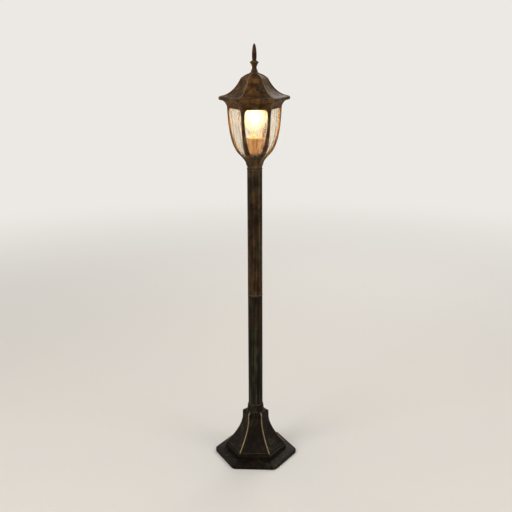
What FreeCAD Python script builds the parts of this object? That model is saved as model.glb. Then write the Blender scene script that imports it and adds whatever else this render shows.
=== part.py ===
import FreeCAD, Part
import os
from math import cos, pi, radians, sin
from FreeCAD import Vector

# Hexagonal garden lantern on a round two-part pole, on a hexagonal bell-shaped base.
# Millimetres, +Z up. The origin is on the floor, on the pole's axis, and the base's
# front flat faces -Y. The "radius" of a hexagon is the one to its corners, and a wall
# or a clearance of a hexagonal piece is measured along it.
# The skilled feature is the lantern cage: one casting with a flared cup, six ribs that
# follow an S-shaped line, six shaped windows and a coved frieze, and behind it the six
# curved panes, which are offsets of that same line.

# ---- base casting ----------------------------------------
FLANGE_CORNER_R = 107.8   # floor flange, before its corners are blunted
FLANGE_BLUNT = 2.0        # how far they are cut back
FLANGE_EDGE_H = 9.8
FLANGE_ROOT_H = 13.0
FLANGE_ROUND = 2.0
PLINTH_IN = 27.5          # from the flange's corners to the plinth's
PLINTH_H = 24.5
PLINTH_ROUND = 1.5
PLINTH_STEP = 1.0         # how far the ledge behind the plinth's edge climbs
BELL_FOOT_IN = 6.3        # from the plinth's corners to the bell's
BELL_FOOT_H = 29.5
BELL_FOOT_REACH = 24.0    # how far the bell's foot runs at about 45 degrees
BELL_NECK_R = 32.5
BELL_NECK_H = 106.0
BELL_NECK_REACH = 22.0    # how far the bell falls almost straight below its neck
SHOULDER_RISE = 11.0      # from the neck to the shoulder's round
SHOULDER_ROUND = 5.5
LEDGE_RISE = 2.0          # from the shoulder's round to the collar
COLLAR_FOOT_R = 21.4
COLLAR_R = 20.4
COLLAR_L = 14.0           # from the ledge to the collar's lip
COLLAR_TOP_R = 19.1
COLLAR_LIP_L = 4.5
BASE_WALL = 4.5
WEB_DROP = 10.0           # underside of the floor that the pole stands on, below the neck
WEB_T = 8.0
BASE_RIDGE_W = 3.4
BASE_RIDGE_RISE = 1.4
RIDGE_ROUND = 0.33        # share of a ridge's width that its crest is rounded by
FIXING_COUNT = 3
FIXING_EDGE = 12.36       # from the middle of a hole to the flange's edge
FIXING_R = 3.5

# ---- pole, and the threaded tube that ties everything together ----------------------------------------
POLE_R = 18.2
POLE_WALL = 2.0
POLE_LOWER_L = 336.0
POLE_UPPER_L = 315.5
COUPLING_RING_R = 18.6
COUPLING_RING_T = 2.0
COUPLING_GRIP = 26.0
COUPLING_BORE_R = 11.0
TUBE_R = 5.0              # M10 x 1
TUBE_BORE_R = 3.6
TUBE_TAIL = 14.0          # thread left below the base's floor
NUT_AF = 14.0
NUT_T = 5.0
WASHER_R = 12.0
WASHER_T = 1.6
NECK_RING_H = 6.5
NECK_BEAD_R = 18.9
NECK_BEAD_H = 4.2
NECK_GROOVE_R = 17.5
SLIP = 0.15               # radial clearance of a spigot in its socket
THREAD_SLIP = 0.1         # radial clearance of a plain stand-in for a thread

# ---- lantern cage (heights from its own foot) -------------------------------
HEAD_TURN = 6.6           # degrees that the head stands turned on the pole
CAGE_FOOT_R = 18.6
CAGE_FOOT_H = 2.2
NECK_R = 20.6
NECK_H = 4.2
NECK_FALL = 8.0           # how far the cup runs almost straight above its neck
WAIST_R = 37.0
WAIST_H = 29.5
CUP_REACH = 10.5          # 45-degree reach of the cup below the waist
WAIST_REACH = 21.0        # 45-degree reach of the ribs above the waist
LANTERN_R = 64.5
LANTERN_H = 140.0
BELLY_DROP = 42.0
BELLY_IN = 2.0
FRIEZE_R = 75.3
FRIEZE_H = 157.7
FRIEZE_BRIM = 0.4         # upright edge above the cove
FRIEZE_COVE_IN = 7.7      # how far the cove's middle stays inside its top edge
FRIEZE_COVE_DOWN = 8.1    # and below it
CAGE_WALL = 3.4
CAGE_LIFT = 0.4           # share of an inset that also lifts the bowl's line
CAGE_FLOOR_H = 18.8
CAGE_SPIGOT_L = 14.0
SILL_H = 26.0
SILL_CORNER = 3.0
RIB_FOOT_W = 8.5
RIB_TOP_W = 5.7
RIB_FOOT_SPREAD = (8.5, 21.0)
RIB_RUN = 44.0            # almost straight stretch below the ribs' spread
RIB_SPREAD_W = 5.5
RIB_SPREAD_H = 14.0
RIB_SPREAD_BEND = (0.3, 0.65)  # where the spread's arc passes, in shares of the two

# ---- panes and what holds them ----------------------------------------
GLASS_T = 3.0
GLASS_GAP = 0.3
GLASS_MITRE = 0.4
GLASS_OVERLAP = 4.5       # height of pane hidden behind the frieze
KEEPER_T = 1.5
KEEPER_W = 7.0
KEEPER_GAP = 0.3          # between the keeper and the roof's spigot
SEAL_T = 1.2
SEAL_W = 4.0

# ---- roof (heights from the face that it rests on) ---------------------------
ROOF_GAP = 0.3            # between the frieze and the roof's seat
RIM_CORNER_R = 86.0       # before its corners are blunted
RIM_BLUNT = 1.7           # how far they are cut back
RIM_T = 9.4
RIM_SOLID = 20.0          # how far the rim is solid from its corners inwards
ROOF_SHOULDER_R = 31.5
ROOF_SHOULDER_H = 49.2
ROOF_FALL_R = 9.5         # handle of the steep flank below the shoulder
ROOF_FALL_H = 19.0
ROOF_SWEEP = 24.0         # handle of the flat flare behind the rim
ROOF_SWEEP_RISE = 1.1
ROOF_CROWN_R = 12.6
ROOF_CROWN_H = 61.0
ROOF_CROWN_BRIM = 0.8     # upright edge of the crown's flat top
ROOF_CROWN_SWELL = 1.2    # how far the crown bulges above a straight slope
ROOF_WALL = 3.0
ROOF_RIDGE_W = 2.8
ROOF_RIDGE_RISE = 0.8     # outwards from the roof's corners
ROOF_RIDGE_LIFT = 0.56    # and upwards
SPIGOT_WALL = 2.6
SPIGOT_SLIP = 0.5
GRUB_COUNT = 3
GRUB_R = 2.0
GRUB_L = 5.0
GRUB_DROP = 6.0           # below the roof's seat
GRUB_TIP_GAP = 0.2
GRUB_SLOT_W = 0.7
GRUB_SLOT_H = 1.0

# ---- finial (heights from its foot) ---------------------------------------------
FINIAL_H = 67.0
FINIAL_FOOT_R = 11.7
FINIAL_FOOT_T = 0.8
FINIAL_FLARE_R = 8.2
FINIAL_FLARE_H = 2.6
FINIAL_FLARE_RUN = 4.9    # how far the flare keeps most of its width
FINIAL_NECK_R = 5.3
FINIAL_NECK_H = 14.5
FINIAL_CUP_R = 7.8
FINIAL_CUP_H = 20.8
FINIAL_DISC_R = 10.6
FINIAL_DISC_H = 25.0
FINIAL_DISC_EDGE = 0.8
SPEAR_FOOT_R = 4.7
SPEAR_FOOT_H = 29.5
SPEAR_R = 5.7             # handles of its belly, so the belly is a little slimmer
SPEAR_BELLY_H = (34.0, 43.0)
SPEAR_NECK_R = 5.0
SPEAR_NECK_H = 51.0
SPEAR_TIP_R = (4.1, 2.7)  # handles of its rounded tip
SPEAR_TIP_H = 60.0
STUD_R = 3.0
STUD_L = 16.0
STUD_NUT_AF = 10.0
STUD_NUT_T = 5.0
STUD_WASHER_R = 8.0
STUD_WASHER_T = 1.0

# ---- lampholder (heights from its foot) -------------------------------------------
HOLDER_LIFT = 12.5        # from the cage's floor
HOLDER_H = 39.0
HOLDER_FOOT_R = 16.0
HOLDER_TOP_R = 19.8
HOLDER_ROUND = 4.0
HOLDER_RIM_H = 2.0        # upright rim above the taper
HOLDER_RIM_OUT = 0.3      # how far the rim stands out
HOLDER_RIM_CHAMFER = 0.6
HOLDER_FLOOR_T = 9.0
HOLDER_LEDGE_H = 17.2     # where the screw shell stands
HOLDER_LEDGE_R = 12.0
SHELL_R = 13.45           # inside of the E27 screw shell
SHELL_T = 0.5
SHELL_H = 18.5
SHELL_SLIP = 0.2
TERMINAL_R = 1.5
TERMINAL_L = 6.0          # of its hole
TERMINAL_SPARE = 0.5
TERMINAL_HEAD_R = 2.6
TERMINAL_HEAD_T = 1.6
TERMINAL_PITCH = 17.0
CONTACT_W = 6.0
CONTACT_T = 0.6
CONTACT_GAP = 0.3         # below the bulb's contact
CONTACT_CLEAR = 1.0       # from the holder's wall and from the tube

# ---- bulb (heights from its contact) ----------------------------------------------
BULB_SEAT = 16.8          # its contact, above the holder's foot
TIP_R = 4.2
TIP_T = 1.2
INSULATOR_T = 2.4
INSULATOR_R = 8.5
CAP_R = 13.1              # E27 cap over its thread
CAP_WALL = 0.4
CAP_SHOULDER = 3.4
CAP_L = 20.0
BULB_H = 107.0
BULB_R = 30.0
BULB_NECK_R = 12.5
BULB_NECK_L = 1.0         # straight neck above the cap
BULB_NECK_RUN = 15.0
BULB_BELLY_RUN = 25.0
BULB_WALL = 1.0
BULB_IN_CAP = 5.0         # length of glass inside the cap
STEM_R = 3.2
STEM_FLARE_R = 11.0
STEM_FLARE_RUN = 15.0
STEM_H = 46.0
FILAMENT_COUNT = 4
FILAMENT_R = 0.9
FILAMENT_L = 36.0
FILAMENT_FOOT_R = 8.0
FILAMENT_HEAD_R = 5.0
FILAMENT_LIFT = 5.0       # feet of the filaments above the stem
HUB_LIFT = 2.0            # top of the mast above the filaments' heads
WIRE_R = 0.4

# ---- wiring ----------------------------------------
LEAD_R = 3.0
LEAD_SLIP = 0.1
LEAD_BEND_R = 30.0
LEAD_RUN = 1.5            # straight bit in front of the terminal block
LEAD_END = 1.5            # lead above the tube's end
BUSH_R = 6.6
BUSH_T = 3.0
BUSH_GRIP = 4.0
BUSH_CHAMFER = 1.0
BLOCK_W = 30.0
BLOCK_D = 14.5
BLOCK_T = 17.0
BLOCK_H = 36.0            # its middle above the floor
BLOCK_CHAMFER = 0.8
BLOCK_POLES = 3
BLOCK_PITCH = 6.0
BLOCK_HOLE_R = 1.8
BLOCK_HOLE_L = 6.0
BLOCK_SCREW_X = 11.5
BOSS_W = 38.0
BOSS_MARGIN = 1.5
SCREW_R = 2.0
SCREW_SPARE = 1.0         # depth of a tapped hole beyond its screw
SCREW_L = 9.0             # of the tapped hole in the casting
SCREW_HEAD_R = 3.6
SCREW_HEAD_T = 2.4
EARTH_REACH = 8.0         # from the earth lead to its screw
EARTH_L = 6.0             # of the tapped hole in the casting
LUG_R = 4.2
LUG_T = 0.8
LUG_TONGUE_W = 3.4
LUG_BARREL_R = 1.9
LUG_BARREL_L = 7.0
EARTH_LEAD_R = 1.2
EARTH_BEND_R = 14.0

# ---- values that follow from the ones above ----------------------------------------
HALF = cos(pi / 6)        # a hexagon's flat distance over its radius
ARC = sin(pi / 4)         # where the middle of a quarter round lies
FAR = 400.0               # longer than any piece is wide
PAST = 1.0                # how far a cut runs past the piece that it goes through
Z_AXIS = Vector(0, 0, 1)
ORIGIN = Vector(0, 0, 0)
FLANGE_R = FLANGE_CORNER_R - FLANGE_BLUNT
PLINTH_R = FLANGE_CORNER_R - PLINTH_IN
BELL_FOOT_R = PLINTH_R - BELL_FOOT_IN
FIXING_PCD = 2 * (FLANGE_CORNER_R * HALF - FIXING_EDGE)
SHOULDER_H = BELL_NECK_H + SHOULDER_RISE
LEDGE_H = SHOULDER_H + SHOULDER_ROUND + LEDGE_RISE
COLLAR_LIP_H = LEDGE_H + COLLAR_L
COLLAR_TOP_H = COLLAR_LIP_H + COLLAR_LIP_L
WEB_H = BELL_NECK_H - WEB_DROP
RIM_R = RIM_CORNER_R - RIM_BLUNT
RIM_SOLID_R = RIM_CORNER_R - RIM_SOLID
POLE_BORE_R = POLE_R - POLE_WALL
POLE_FOOT_Z = WEB_H + WEB_T
POLE_JOINT_Z = POLE_FOOT_Z + POLE_LOWER_L
POLE_TOP_Z = POLE_JOINT_Z + COUPLING_RING_T + POLE_UPPER_L
HEAD_Z = POLE_TOP_Z + NECK_RING_H
ROOF_Z = HEAD_Z + FRIEZE_H + ROOF_GAP
FINIAL_Z = ROOF_Z + ROOF_CROWN_H
HOLDER_Z = HEAD_Z + CAGE_FLOOR_H + HOLDER_LIFT
BULB_Z = HOLDER_Z + BULB_SEAT
TUBE_FOOT_Z = WEB_H - TUBE_TAIL
TUBE_TOP_Z = HOLDER_Z + HOLDER_FLOOR_T - 2 * LEAD_END
TUBE_HOLE_R = TUBE_R + THREAD_SLIP
FRIEZE_BORE_R = LANTERN_R - CAGE_WALL
GLASS_INSET = CAGE_WALL + GLASS_GAP
GLASS_TOP_H = LANTERN_H + GLASS_OVERLAP
SPIGOT_R = FRIEZE_BORE_R - SPIGOT_SLIP
SPIGOT_L = FRIEZE_H + ROOF_GAP - GLASS_TOP_H - KEEPER_T - KEEPER_GAP
ROOF_CEILING_Z = ROOF_Z + ROOF_CROWN_H - ROOF_CROWN_BRIM - ROOF_WALL
BLOCK_FACE_Y = LEAD_BEND_R + LEAD_RUN
BLOCK_SEAT_Y = BLOCK_FACE_Y + BLOCK_D
CAP_FOOT_H = TIP_T + INSULATOR_T
CAP_TOP_H = CAP_FOOT_H + CAP_L
FILAMENT_FOOT_H = STEM_H + FILAMENT_LIFT
EARTH_LEAD_X = -BLOCK_PITCH
EARTH_X = EARTH_LEAD_X - EARTH_REACH
EARTH_Y = BLOCK_FACE_Y - LEAD_RUN - EARTH_BEND_R


# ---- outlines, and the two ways of making a solid from them ----------------------------------------
def outline(start, *steps, across=1.0):
    """Edges through (radius, height) points, with the radii multiplied by across. A step
    of one point is a line, of two an arc's middle and end, and of three a smooth curve's
    two handles and its end."""
    edges = []
    here = Vector(start[0] * across, 0, start[1])
    for step in steps:
        points = [Vector(r * across, 0, z) for r, z in step]
        if len(points) == 1:
            edges.append(Part.LineSegment(here, points[0]).toShape())
        elif len(points) == 2:
            edges.append(Part.Arc(here, points[0], points[1]).toShape())
        else:
            curve = Part.BezierCurve()
            curve.setPoles([here] + points)
            edges.append(curve.toShape())
        here = points[-1]
    return edges


def turned(start, *steps):
    """Round solid or ring from a closed outline beside the axis."""
    face = Part.Face(Part.Wire(outline(start, *steps, (start,))))
    return face.revolve(ORIGIN, Z_AXIS, 360)


def mirrored_face(start, *steps, across=1.0):
    """Face between a right-hand outline and its mirror image in the axis."""
    edges = outline(start, *steps, across=across) + outline(start, *steps, across=-across)
    for r, z in (start, steps[-1][-1]):
        edges.append(Part.LineSegment(Vector(-r * across, 0, z), Vector(r * across, 0, z)).toShape())
    return Part.Face(Part.Wire(Part.sortEdges(edges)[0]))


def hexagonal(start, *steps):
    """Solid with hexagonal levels, flats to -Y and +Y, whose corners follow the outline.
    It is what three slabs, each as wide as the hexagon's flats, have in common."""
    slab = mirrored_face(start, *steps, across=HALF).extrude(Vector(0, 2 * FAR, 0))
    slab.translate(Vector(0, -FAR, 0))
    slabs = [around(slab, 90 + 60 * step) for step in range(3)]
    return slabs[0].common(slabs[1]).common(slabs[2])


def around(shape, degrees):
    """A copy turned about the pole's axis."""
    copy = shape.copy()
    copy.rotate(ORIGIN, Z_AXIS, degrees)
    return copy


def lifted(shape, height):
    """A copy moved up."""
    copy = shape.copy()
    copy.translate(Vector(0, 0, height))
    return copy


def layer(low, high):
    """Everything between two levels."""
    return Part.makeBox(2 * FAR, 2 * FAR, high - low, Vector(-FAR, -FAR, low))


def rod(radius, low, high, x=0.0, y=0.0):
    """Upright cylinder between two levels."""
    return Part.makeCylinder(radius, high - low, Vector(x, y, low))


def wire_rod(radius, foot, head):
    """Straight round bar between two points."""
    way = head - foot
    return Part.makeCylinder(radius, way.Length, foot, way)


def ring(outer, inner, low, high):
    """Upright washer shape."""
    return rod(outer, low, high).cut(rod(inner, low, high))


def hex_prism(radius, low, high):
    """Upright hexagonal prism, flats to -Y and +Y."""
    return hexagonal((radius, low), ((radius, high),))


def hex_nut(across_flats, bore, low, high):
    """Hexagon nut with chamfered corners."""
    corner = across_flats / 2 / HALF
    chamfer = corner - across_flats / 2
    barrel = turned((0, low), ((corner - chamfer, low),), ((corner, low + chamfer / 2),),
                    ((corner, high - chamfer / 2),), ((corner - chamfer, high),), ((0, high),))
    return hex_prism(corner, low, high).common(barrel).cut(rod(bore, low, high))


def ridges(width, foot_h, start, *steps):
    """Six upright fins with rounded crests on a hexagon's corners. The crest follows
    the outline, and each fin reaches in to the axis."""
    top_h = steps[-1][-1][1]
    edges = outline((0, foot_h), ((start[0], foot_h),), (start,), *steps, ((0, top_h),), ((0, foot_h),))
    fin = Part.Face(Part.Wire(edges)).extrude(Vector(0, width, 0))
    fin.translate(Vector(0, -width / 2, 0))
    crest = [edge for edge in fin.Edges if abs(edge.BoundBox.YLength) < 1e-6 and
             min(vertex.X for vertex in edge.Vertexes) > 1e-6]
    fin = fin.makeFillet(width * RIDGE_ROUND, crest)
    fins = [around(fin, 60 * step) for step in range(6)]
    return fins[0].fuse(fins[1:])


# ---- base ----------------------------------------
def bell_line(out, up):
    """The bell's corner line from its foot to the collar, moved out and up."""
    def at(r, z):
        return (r + out, z + up)
    round_r = BELL_NECK_R - SHOULDER_ROUND
    foot = (at(BELL_FOOT_R - BELL_FOOT_REACH, BELL_FOOT_H + BELL_FOOT_REACH),
            at(BELL_NECK_R, BELL_NECK_H - BELL_NECK_REACH),
            at(BELL_NECK_R, BELL_NECK_H))
    neck = (at(BELL_NECK_R, SHOULDER_H),)
    shoulder = (at(round_r + SHOULDER_ROUND * ARC, SHOULDER_H + SHOULDER_ROUND * ARC),
                at(round_r, SHOULDER_H + SHOULDER_ROUND))
    ledge = (at(COLLAR_R, LEDGE_H),)
    return at(BELL_FOOT_R, BELL_FOOT_H), [foot, neck, shoulder, ledge]


def base_casting():
    foot, bell = bell_line(0, 0)
    ledge_h = PLINTH_H + PLINTH_STEP
    rounding = PLINTH_ROUND * (1 - ARC)
    body = hexagonal((PLINTH_R, FLANGE_EDGE_H), ((PLINTH_R, PLINTH_H - PLINTH_ROUND),),
                     ((PLINTH_R - rounding, PLINTH_H - rounding), (PLINTH_R - PLINTH_ROUND, PLINTH_H)),
                     ((BELL_FOOT_R, ledge_h),), (foot,), *bell)
    crest_foot, crest = bell_line(BASE_RIDGE_RISE, BASE_RIDGE_RISE)
    fins = ridges(BASE_RIDGE_W, ledge_h, crest_foot, *crest)
    solid = body.fuse([fins, base_flange(), base_collar()])
    solid = solid.cut(base_hollow())
    solid = solid.cut(rod(POLE_R + SLIP, POLE_FOOT_Z, COLLAR_TOP_H + PAST))
    solid = solid.cut(rod(TUBE_HOLE_R, WEB_H - PAST, POLE_FOOT_Z + PAST))
    for x, y in fixing_places():
        solid = solid.cut(rod(FIXING_R, -PAST, FLANGE_ROOT_H + PAST, x, y))
    solid = solid.cut(rod(SCREW_R + THREAD_SLIP, WEB_H - PAST, WEB_H + EARTH_L, EARTH_X, EARTH_Y))
    for x in (-BLOCK_SCREW_X, BLOCK_SCREW_X):
        solid = solid.cut(side_rod(SCREW_R + THREAD_SLIP, BLOCK_SEAT_Y - PAST, BLOCK_SEAT_Y + SCREW_L, x))
    return solid


def flange_line(edge_r):
    """The flange's outline from the floor to the plinth, for a given outer edge."""
    rounding = FLANGE_ROUND * (1 - ARC)
    return [((edge_r, FLANGE_EDGE_H - FLANGE_ROUND),),
            ((edge_r - rounding, FLANGE_EDGE_H - rounding), (edge_r - FLANGE_ROUND, FLANGE_EDGE_H)),
            ((PLINTH_R, FLANGE_ROOT_H),)]


def base_flange():
    """Hexagonal floor flange whose six corners are blunted by a round one."""
    flange = hexagonal((FLANGE_CORNER_R, 0), *flange_line(FLANGE_CORNER_R))
    blunt = turned((0, 0), ((FLANGE_R, 0),), *flange_line(FLANGE_R), ((0, FLANGE_ROOT_H),))
    return flange.common(blunt)


def base_collar():
    return turned((0, WEB_H), ((COLLAR_FOOT_R, WEB_H),), ((COLLAR_FOOT_R, LEDGE_H),),
                  ((COLLAR_R, COLLAR_LIP_H),), ((COLLAR_TOP_R, COLLAR_TOP_H),), ((0, COLLAR_TOP_H),))


def base_hollow():
    """The open underside, less the boss that carries the terminal block."""
    foot, bell = bell_line(-BASE_WALL, -BASE_WALL / 2)
    plinth_r = PLINTH_R - BASE_WALL
    plinth_h = PLINTH_H - BASE_WALL
    hollow = hexagonal((plinth_r, -PAST), ((plinth_r, plinth_h),), ((foot[0], plinth_h + PLINTH_STEP),),
                       (foot,), *bell).common(layer(-PAST, WEB_H))
    boss_t = BLOCK_T + 2 * BOSS_MARGIN
    boss = Part.makeBox(BOSS_W, FAR, boss_t, Vector(-BOSS_W / 2, BLOCK_SEAT_Y, BLOCK_H - boss_t / 2))
    return hollow.cut(boss)


def fixing_places():
    angles = [radians(90 + 360 * step / FIXING_COUNT) for step in range(FIXING_COUNT)]
    return [(FIXING_PCD / 2 * cos(angle), FIXING_PCD / 2 * sin(angle)) for angle in angles]


def side_rod(radius, near, far, x):
    """Cylinder along +Y at the height of the terminal block."""
    return Part.makeCylinder(radius, far - near, Vector(x, near, BLOCK_H), Vector(0, 1, 0))


# ---- pole ----------------------------------------
def pole_section(low, length):
    return ring(POLE_R, POLE_BORE_R, low, low + length)


def pole_coupling():
    """Sleeve inside both pole sections, with a thin ring that shows at the joint."""
    grip_r = POLE_BORE_R - SLIP
    high = POLE_JOINT_Z + COUPLING_RING_T
    sleeve = rod(grip_r, POLE_JOINT_Z - COUPLING_GRIP, high + COUPLING_GRIP)
    sleeve = sleeve.fuse(rod(COUPLING_RING_R, POLE_JOINT_Z, high))
    return sleeve.cut(rod(COUPLING_BORE_R, POLE_JOINT_Z - COUPLING_GRIP - PAST, high + COUPLING_GRIP + PAST))


def neck_ring():
    """Turned ring with a bead, between the pole and the lantern's foot."""
    bead_out = (NECK_BEAD_R, POLE_TOP_Z + NECK_BEAD_H / 2)
    bead_top = POLE_TOP_Z + NECK_BEAD_H
    return turned((POLE_BORE_R, POLE_TOP_Z), ((NECK_GROOVE_R, POLE_TOP_Z),),
                  (bead_out, (NECK_GROOVE_R, bead_top)), ((NECK_GROOVE_R, HEAD_Z),), ((POLE_BORE_R, HEAD_Z),))


def tie_tube():
    return ring(TUBE_R, TUBE_BORE_R, TUBE_FOOT_Z, TUBE_TOP_Z)


def tie_washer(low):
    return ring(WASHER_R, TUBE_HOLE_R, low, low + WASHER_T)


def tie_nut(low):
    return hex_nut(NUT_AF, TUBE_HOLE_R, low, low + NUT_T)


# ---- lantern cage ----------------------------------------
def lantern_line(inset):
    """The corner line of cup and ribs, moved inwards, from the neck to the frieze."""
    def at(r, z):
        return (r - inset, z + inset * CAGE_LIFT)
    cup = (at(NECK_R, NECK_H + NECK_FALL), at(WAIST_R - CUP_REACH, WAIST_H - CUP_REACH), at(WAIST_R, WAIST_H))
    belly = (at(WAIST_R + WAIST_REACH, WAIST_H + WAIST_REACH),
             at(LANTERN_R - BELLY_IN, LANTERN_H - BELLY_DROP), at(LANTERN_R, LANTERN_H))
    return at(NECK_R, NECK_H), [cup, belly]


def lantern_cage():
    neck, line = lantern_line(0)
    cove = ((FRIEZE_R - FRIEZE_COVE_IN, FRIEZE_H - FRIEZE_COVE_DOWN), (FRIEZE_R, FRIEZE_H - FRIEZE_BRIM))
    solid = hexagonal((CAGE_FOOT_R, CAGE_FOOT_H), (neck,), *line, cove, ((FRIEZE_R, FRIEZE_H),))
    inner_neck, inner_line = lantern_line(CAGE_WALL)
    hollow = hexagonal(inner_neck, *inner_line, ((FRIEZE_BORE_R, FRIEZE_H + PAST),))
    solid = solid.cut(hollow.common(layer(CAGE_FLOOR_H, FRIEZE_H + PAST)))
    solid = solid.cut(hex_prism(FRIEZE_BORE_R + SEAL_W, FRIEZE_H - SEAL_T, FRIEZE_H + PAST))
    for step in range(6):
        solid = solid.cut(around(window(), 60 * step))
    for step in range(GRUB_COUNT):
        solid = solid.cut(around(grub_rod(GRUB_R + THREAD_SLIP, -GRUB_L, FAR), 360 / GRUB_COUNT * step))
    foot = rod(CAGE_FOOT_R, 0, CAGE_FOOT_H).fuse(rod(POLE_BORE_R - SLIP, -CAGE_SPIGOT_L, CAGE_FOOT_H))
    solid = solid.fuse(foot).cut(rod(TUBE_HOLE_R, -CAGE_SPIGOT_L - PAST, CAGE_FLOOR_H + PAST))
    return placed_head(solid)


def window():
    """What the front window takes out of the cage, from the sill to the frieze."""
    foot_w = WAIST_R / 2 - RIB_FOOT_W
    head_w = LANTERN_R / 2 - RIB_TOP_W
    head_h = LANTERN_H - RIB_SPREAD_H
    bend = SILL_CORNER * (1 - ARC)
    sill = ((foot_w - bend, SILL_H + bend), (foot_w, SILL_H + SILL_CORNER))
    side = ((foot_w + RIB_FOOT_SPREAD[0], SILL_H + RIB_FOOT_SPREAD[1]),
            (head_w, head_h - RIB_RUN), (head_w, head_h))
    spread = ((head_w - RIB_SPREAD_W * RIB_SPREAD_BEND[0], head_h + RIB_SPREAD_H * RIB_SPREAD_BEND[1]),
              (head_w - RIB_SPREAD_W, LANTERN_H))
    cutter = mirrored_face((foot_w - SILL_CORNER, SILL_H), sill, side, spread).extrude(Vector(0, -FAR, 0))
    cutter.translate(Vector(0, -NECK_R / 2, 0))
    return cutter


def grub_rod(radius, from_tip, length):
    """Cylinder on a roof screw's line, seen from its tip in the back flat."""
    tip_y = SPIGOT_R * HALF + GRUB_TIP_GAP
    height = FRIEZE_H + ROOF_GAP - GRUB_DROP
    return Part.makeCylinder(radius, length, Vector(0, tip_y + from_tip, height), Vector(0, 1, 0))


def placed_head(shape):
    """Turns a piece with the head and puts it at the head's height."""
    return lifted(around(shape, HEAD_TURN), HEAD_Z)


def roof_grub_screws():
    tip_y = SPIGOT_R * HALF + GRUB_TIP_GAP
    height = FRIEZE_H + ROOF_GAP - GRUB_DROP
    slot = Part.makeBox(2 * (GRUB_R + PAST), GRUB_SLOT_H, GRUB_SLOT_W,
                        Vector(-GRUB_R - PAST, tip_y + GRUB_L - GRUB_SLOT_H, height - GRUB_SLOT_W / 2))
    screw = grub_rod(GRUB_R, 0, GRUB_L).cut(slot)
    screws = [around(screw, 360 / GRUB_COUNT * step) for step in range(GRUB_COUNT)]
    return placed_head(Part.makeCompound(screws))


def glass_panes():
    """Six curved panes, mitred to each other behind the ribs."""
    outer_neck, outer_line = lantern_line(GLASS_INSET)
    inner_neck, inner_line = lantern_line(GLASS_INSET + GLASS_T)
    top = GLASS_TOP_H + PAST
    outer = hexagonal(outer_neck, *outer_line, ((LANTERN_R - GLASS_INSET, top),))
    inner = hexagonal(inner_neck, *inner_line, ((LANTERN_R - GLASS_INSET - GLASS_T, top),))
    shell = outer.cut(inner).common(layer(CAGE_FLOOR_H, GLASS_TOP_H))
    far_y = -GLASS_MITRE - 2 * FAR * HALF
    corners = [Vector(0, -GLASS_MITRE, 0), Vector(-FAR, far_y, 0), Vector(FAR, far_y, 0)]
    sector = Part.Face(Part.makePolygon(corners + corners[:1])).extrude(Vector(0, 0, top))
    return [placed_head(shell.common(around(sector, 60 * step))) for step in range(6)]


def glass_keeper():
    """Flat hexagonal ring that lies on the panes' top edges."""
    low = GLASS_TOP_H
    outer = hex_prism(SPIGOT_R, low, low + KEEPER_T)
    return placed_head(outer.cut(hex_prism(SPIGOT_R - KEEPER_W, low, low + KEEPER_T)))


def roof_seal():
    """Flat seal let into the frieze's top edge."""
    low = FRIEZE_H - SEAL_T
    outer_r = FRIEZE_BORE_R + SEAL_W - SLIP
    return placed_head(hex_prism(outer_r, low, FRIEZE_H).cut(hex_prism(FRIEZE_BORE_R, low, FRIEZE_H)))


# ---- roof ----------------------------------------
def roof_line(out, up):
    """The roof's corner line from behind the rim to the crown, moved out and up."""
    def at(r, z):
        return (r + out, z + up)
    rim_top_r = RIM_CORNER_R - RIM_T / 2
    crown_h = ROOF_CROWN_H - ROOF_CROWN_BRIM
    flank = (at(rim_top_r - ROOF_SWEEP, RIM_T + ROOF_SWEEP_RISE),
             at(ROOF_SHOULDER_R + ROOF_FALL_R, ROOF_SHOULDER_H - ROOF_FALL_H),
             at(ROOF_SHOULDER_R, ROOF_SHOULDER_H))
    crown = (at((ROOF_SHOULDER_R + ROOF_CROWN_R) / 2, (ROOF_SHOULDER_H + crown_h) / 2 + ROOF_CROWN_SWELL),
             at(ROOF_CROWN_R, crown_h))
    return at(rim_top_r, RIM_T), [flank, crown]


def roof_casting():
    start, line = roof_line(0, 0)
    lip = (RIM_CORNER_R - RIM_T / 2, RIM_T)
    solid = hexagonal((lip[0], 0), ((RIM_CORNER_R, RIM_T / 2), lip), *line, ((ROOF_CROWN_R, ROOF_CROWN_H),))
    crest_foot, crest = roof_line(ROOF_RIDGE_RISE, ROOF_RIDGE_LIFT)
    solid = solid.fuse(ridges(ROOF_RIDGE_W, RIM_T / 2, crest_foot, *crest))
    blunt_r = RIM_R - RIM_T / 2
    blunt = turned((0, 0), ((blunt_r, 0),), ((RIM_R, RIM_T / 2), (blunt_r, RIM_T)),
                   ((blunt_r, ROOF_CROWN_H),), ((0, ROOF_CROWN_H),))
    solid = solid.common(blunt).fuse(hex_prism(SPIGOT_R, -SPIGOT_L, RIM_T / 2))
    under, inner_line = roof_line(-ROOF_WALL, -ROOF_WALL)
    attic = hexagonal(under, *inner_line).common(hex_prism(RIM_SOLID_R, 0, ROOF_CROWN_H))
    well = hex_prism(SPIGOT_R - SPIGOT_WALL, -SPIGOT_L - PAST, RIM_T)
    solid = solid.cut(attic.fuse(well)).cut(rod(STUD_R + THREAD_SLIP, 0, ROOF_CROWN_H + PAST))
    return lifted(around(solid, HEAD_TURN), ROOF_Z)


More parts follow.
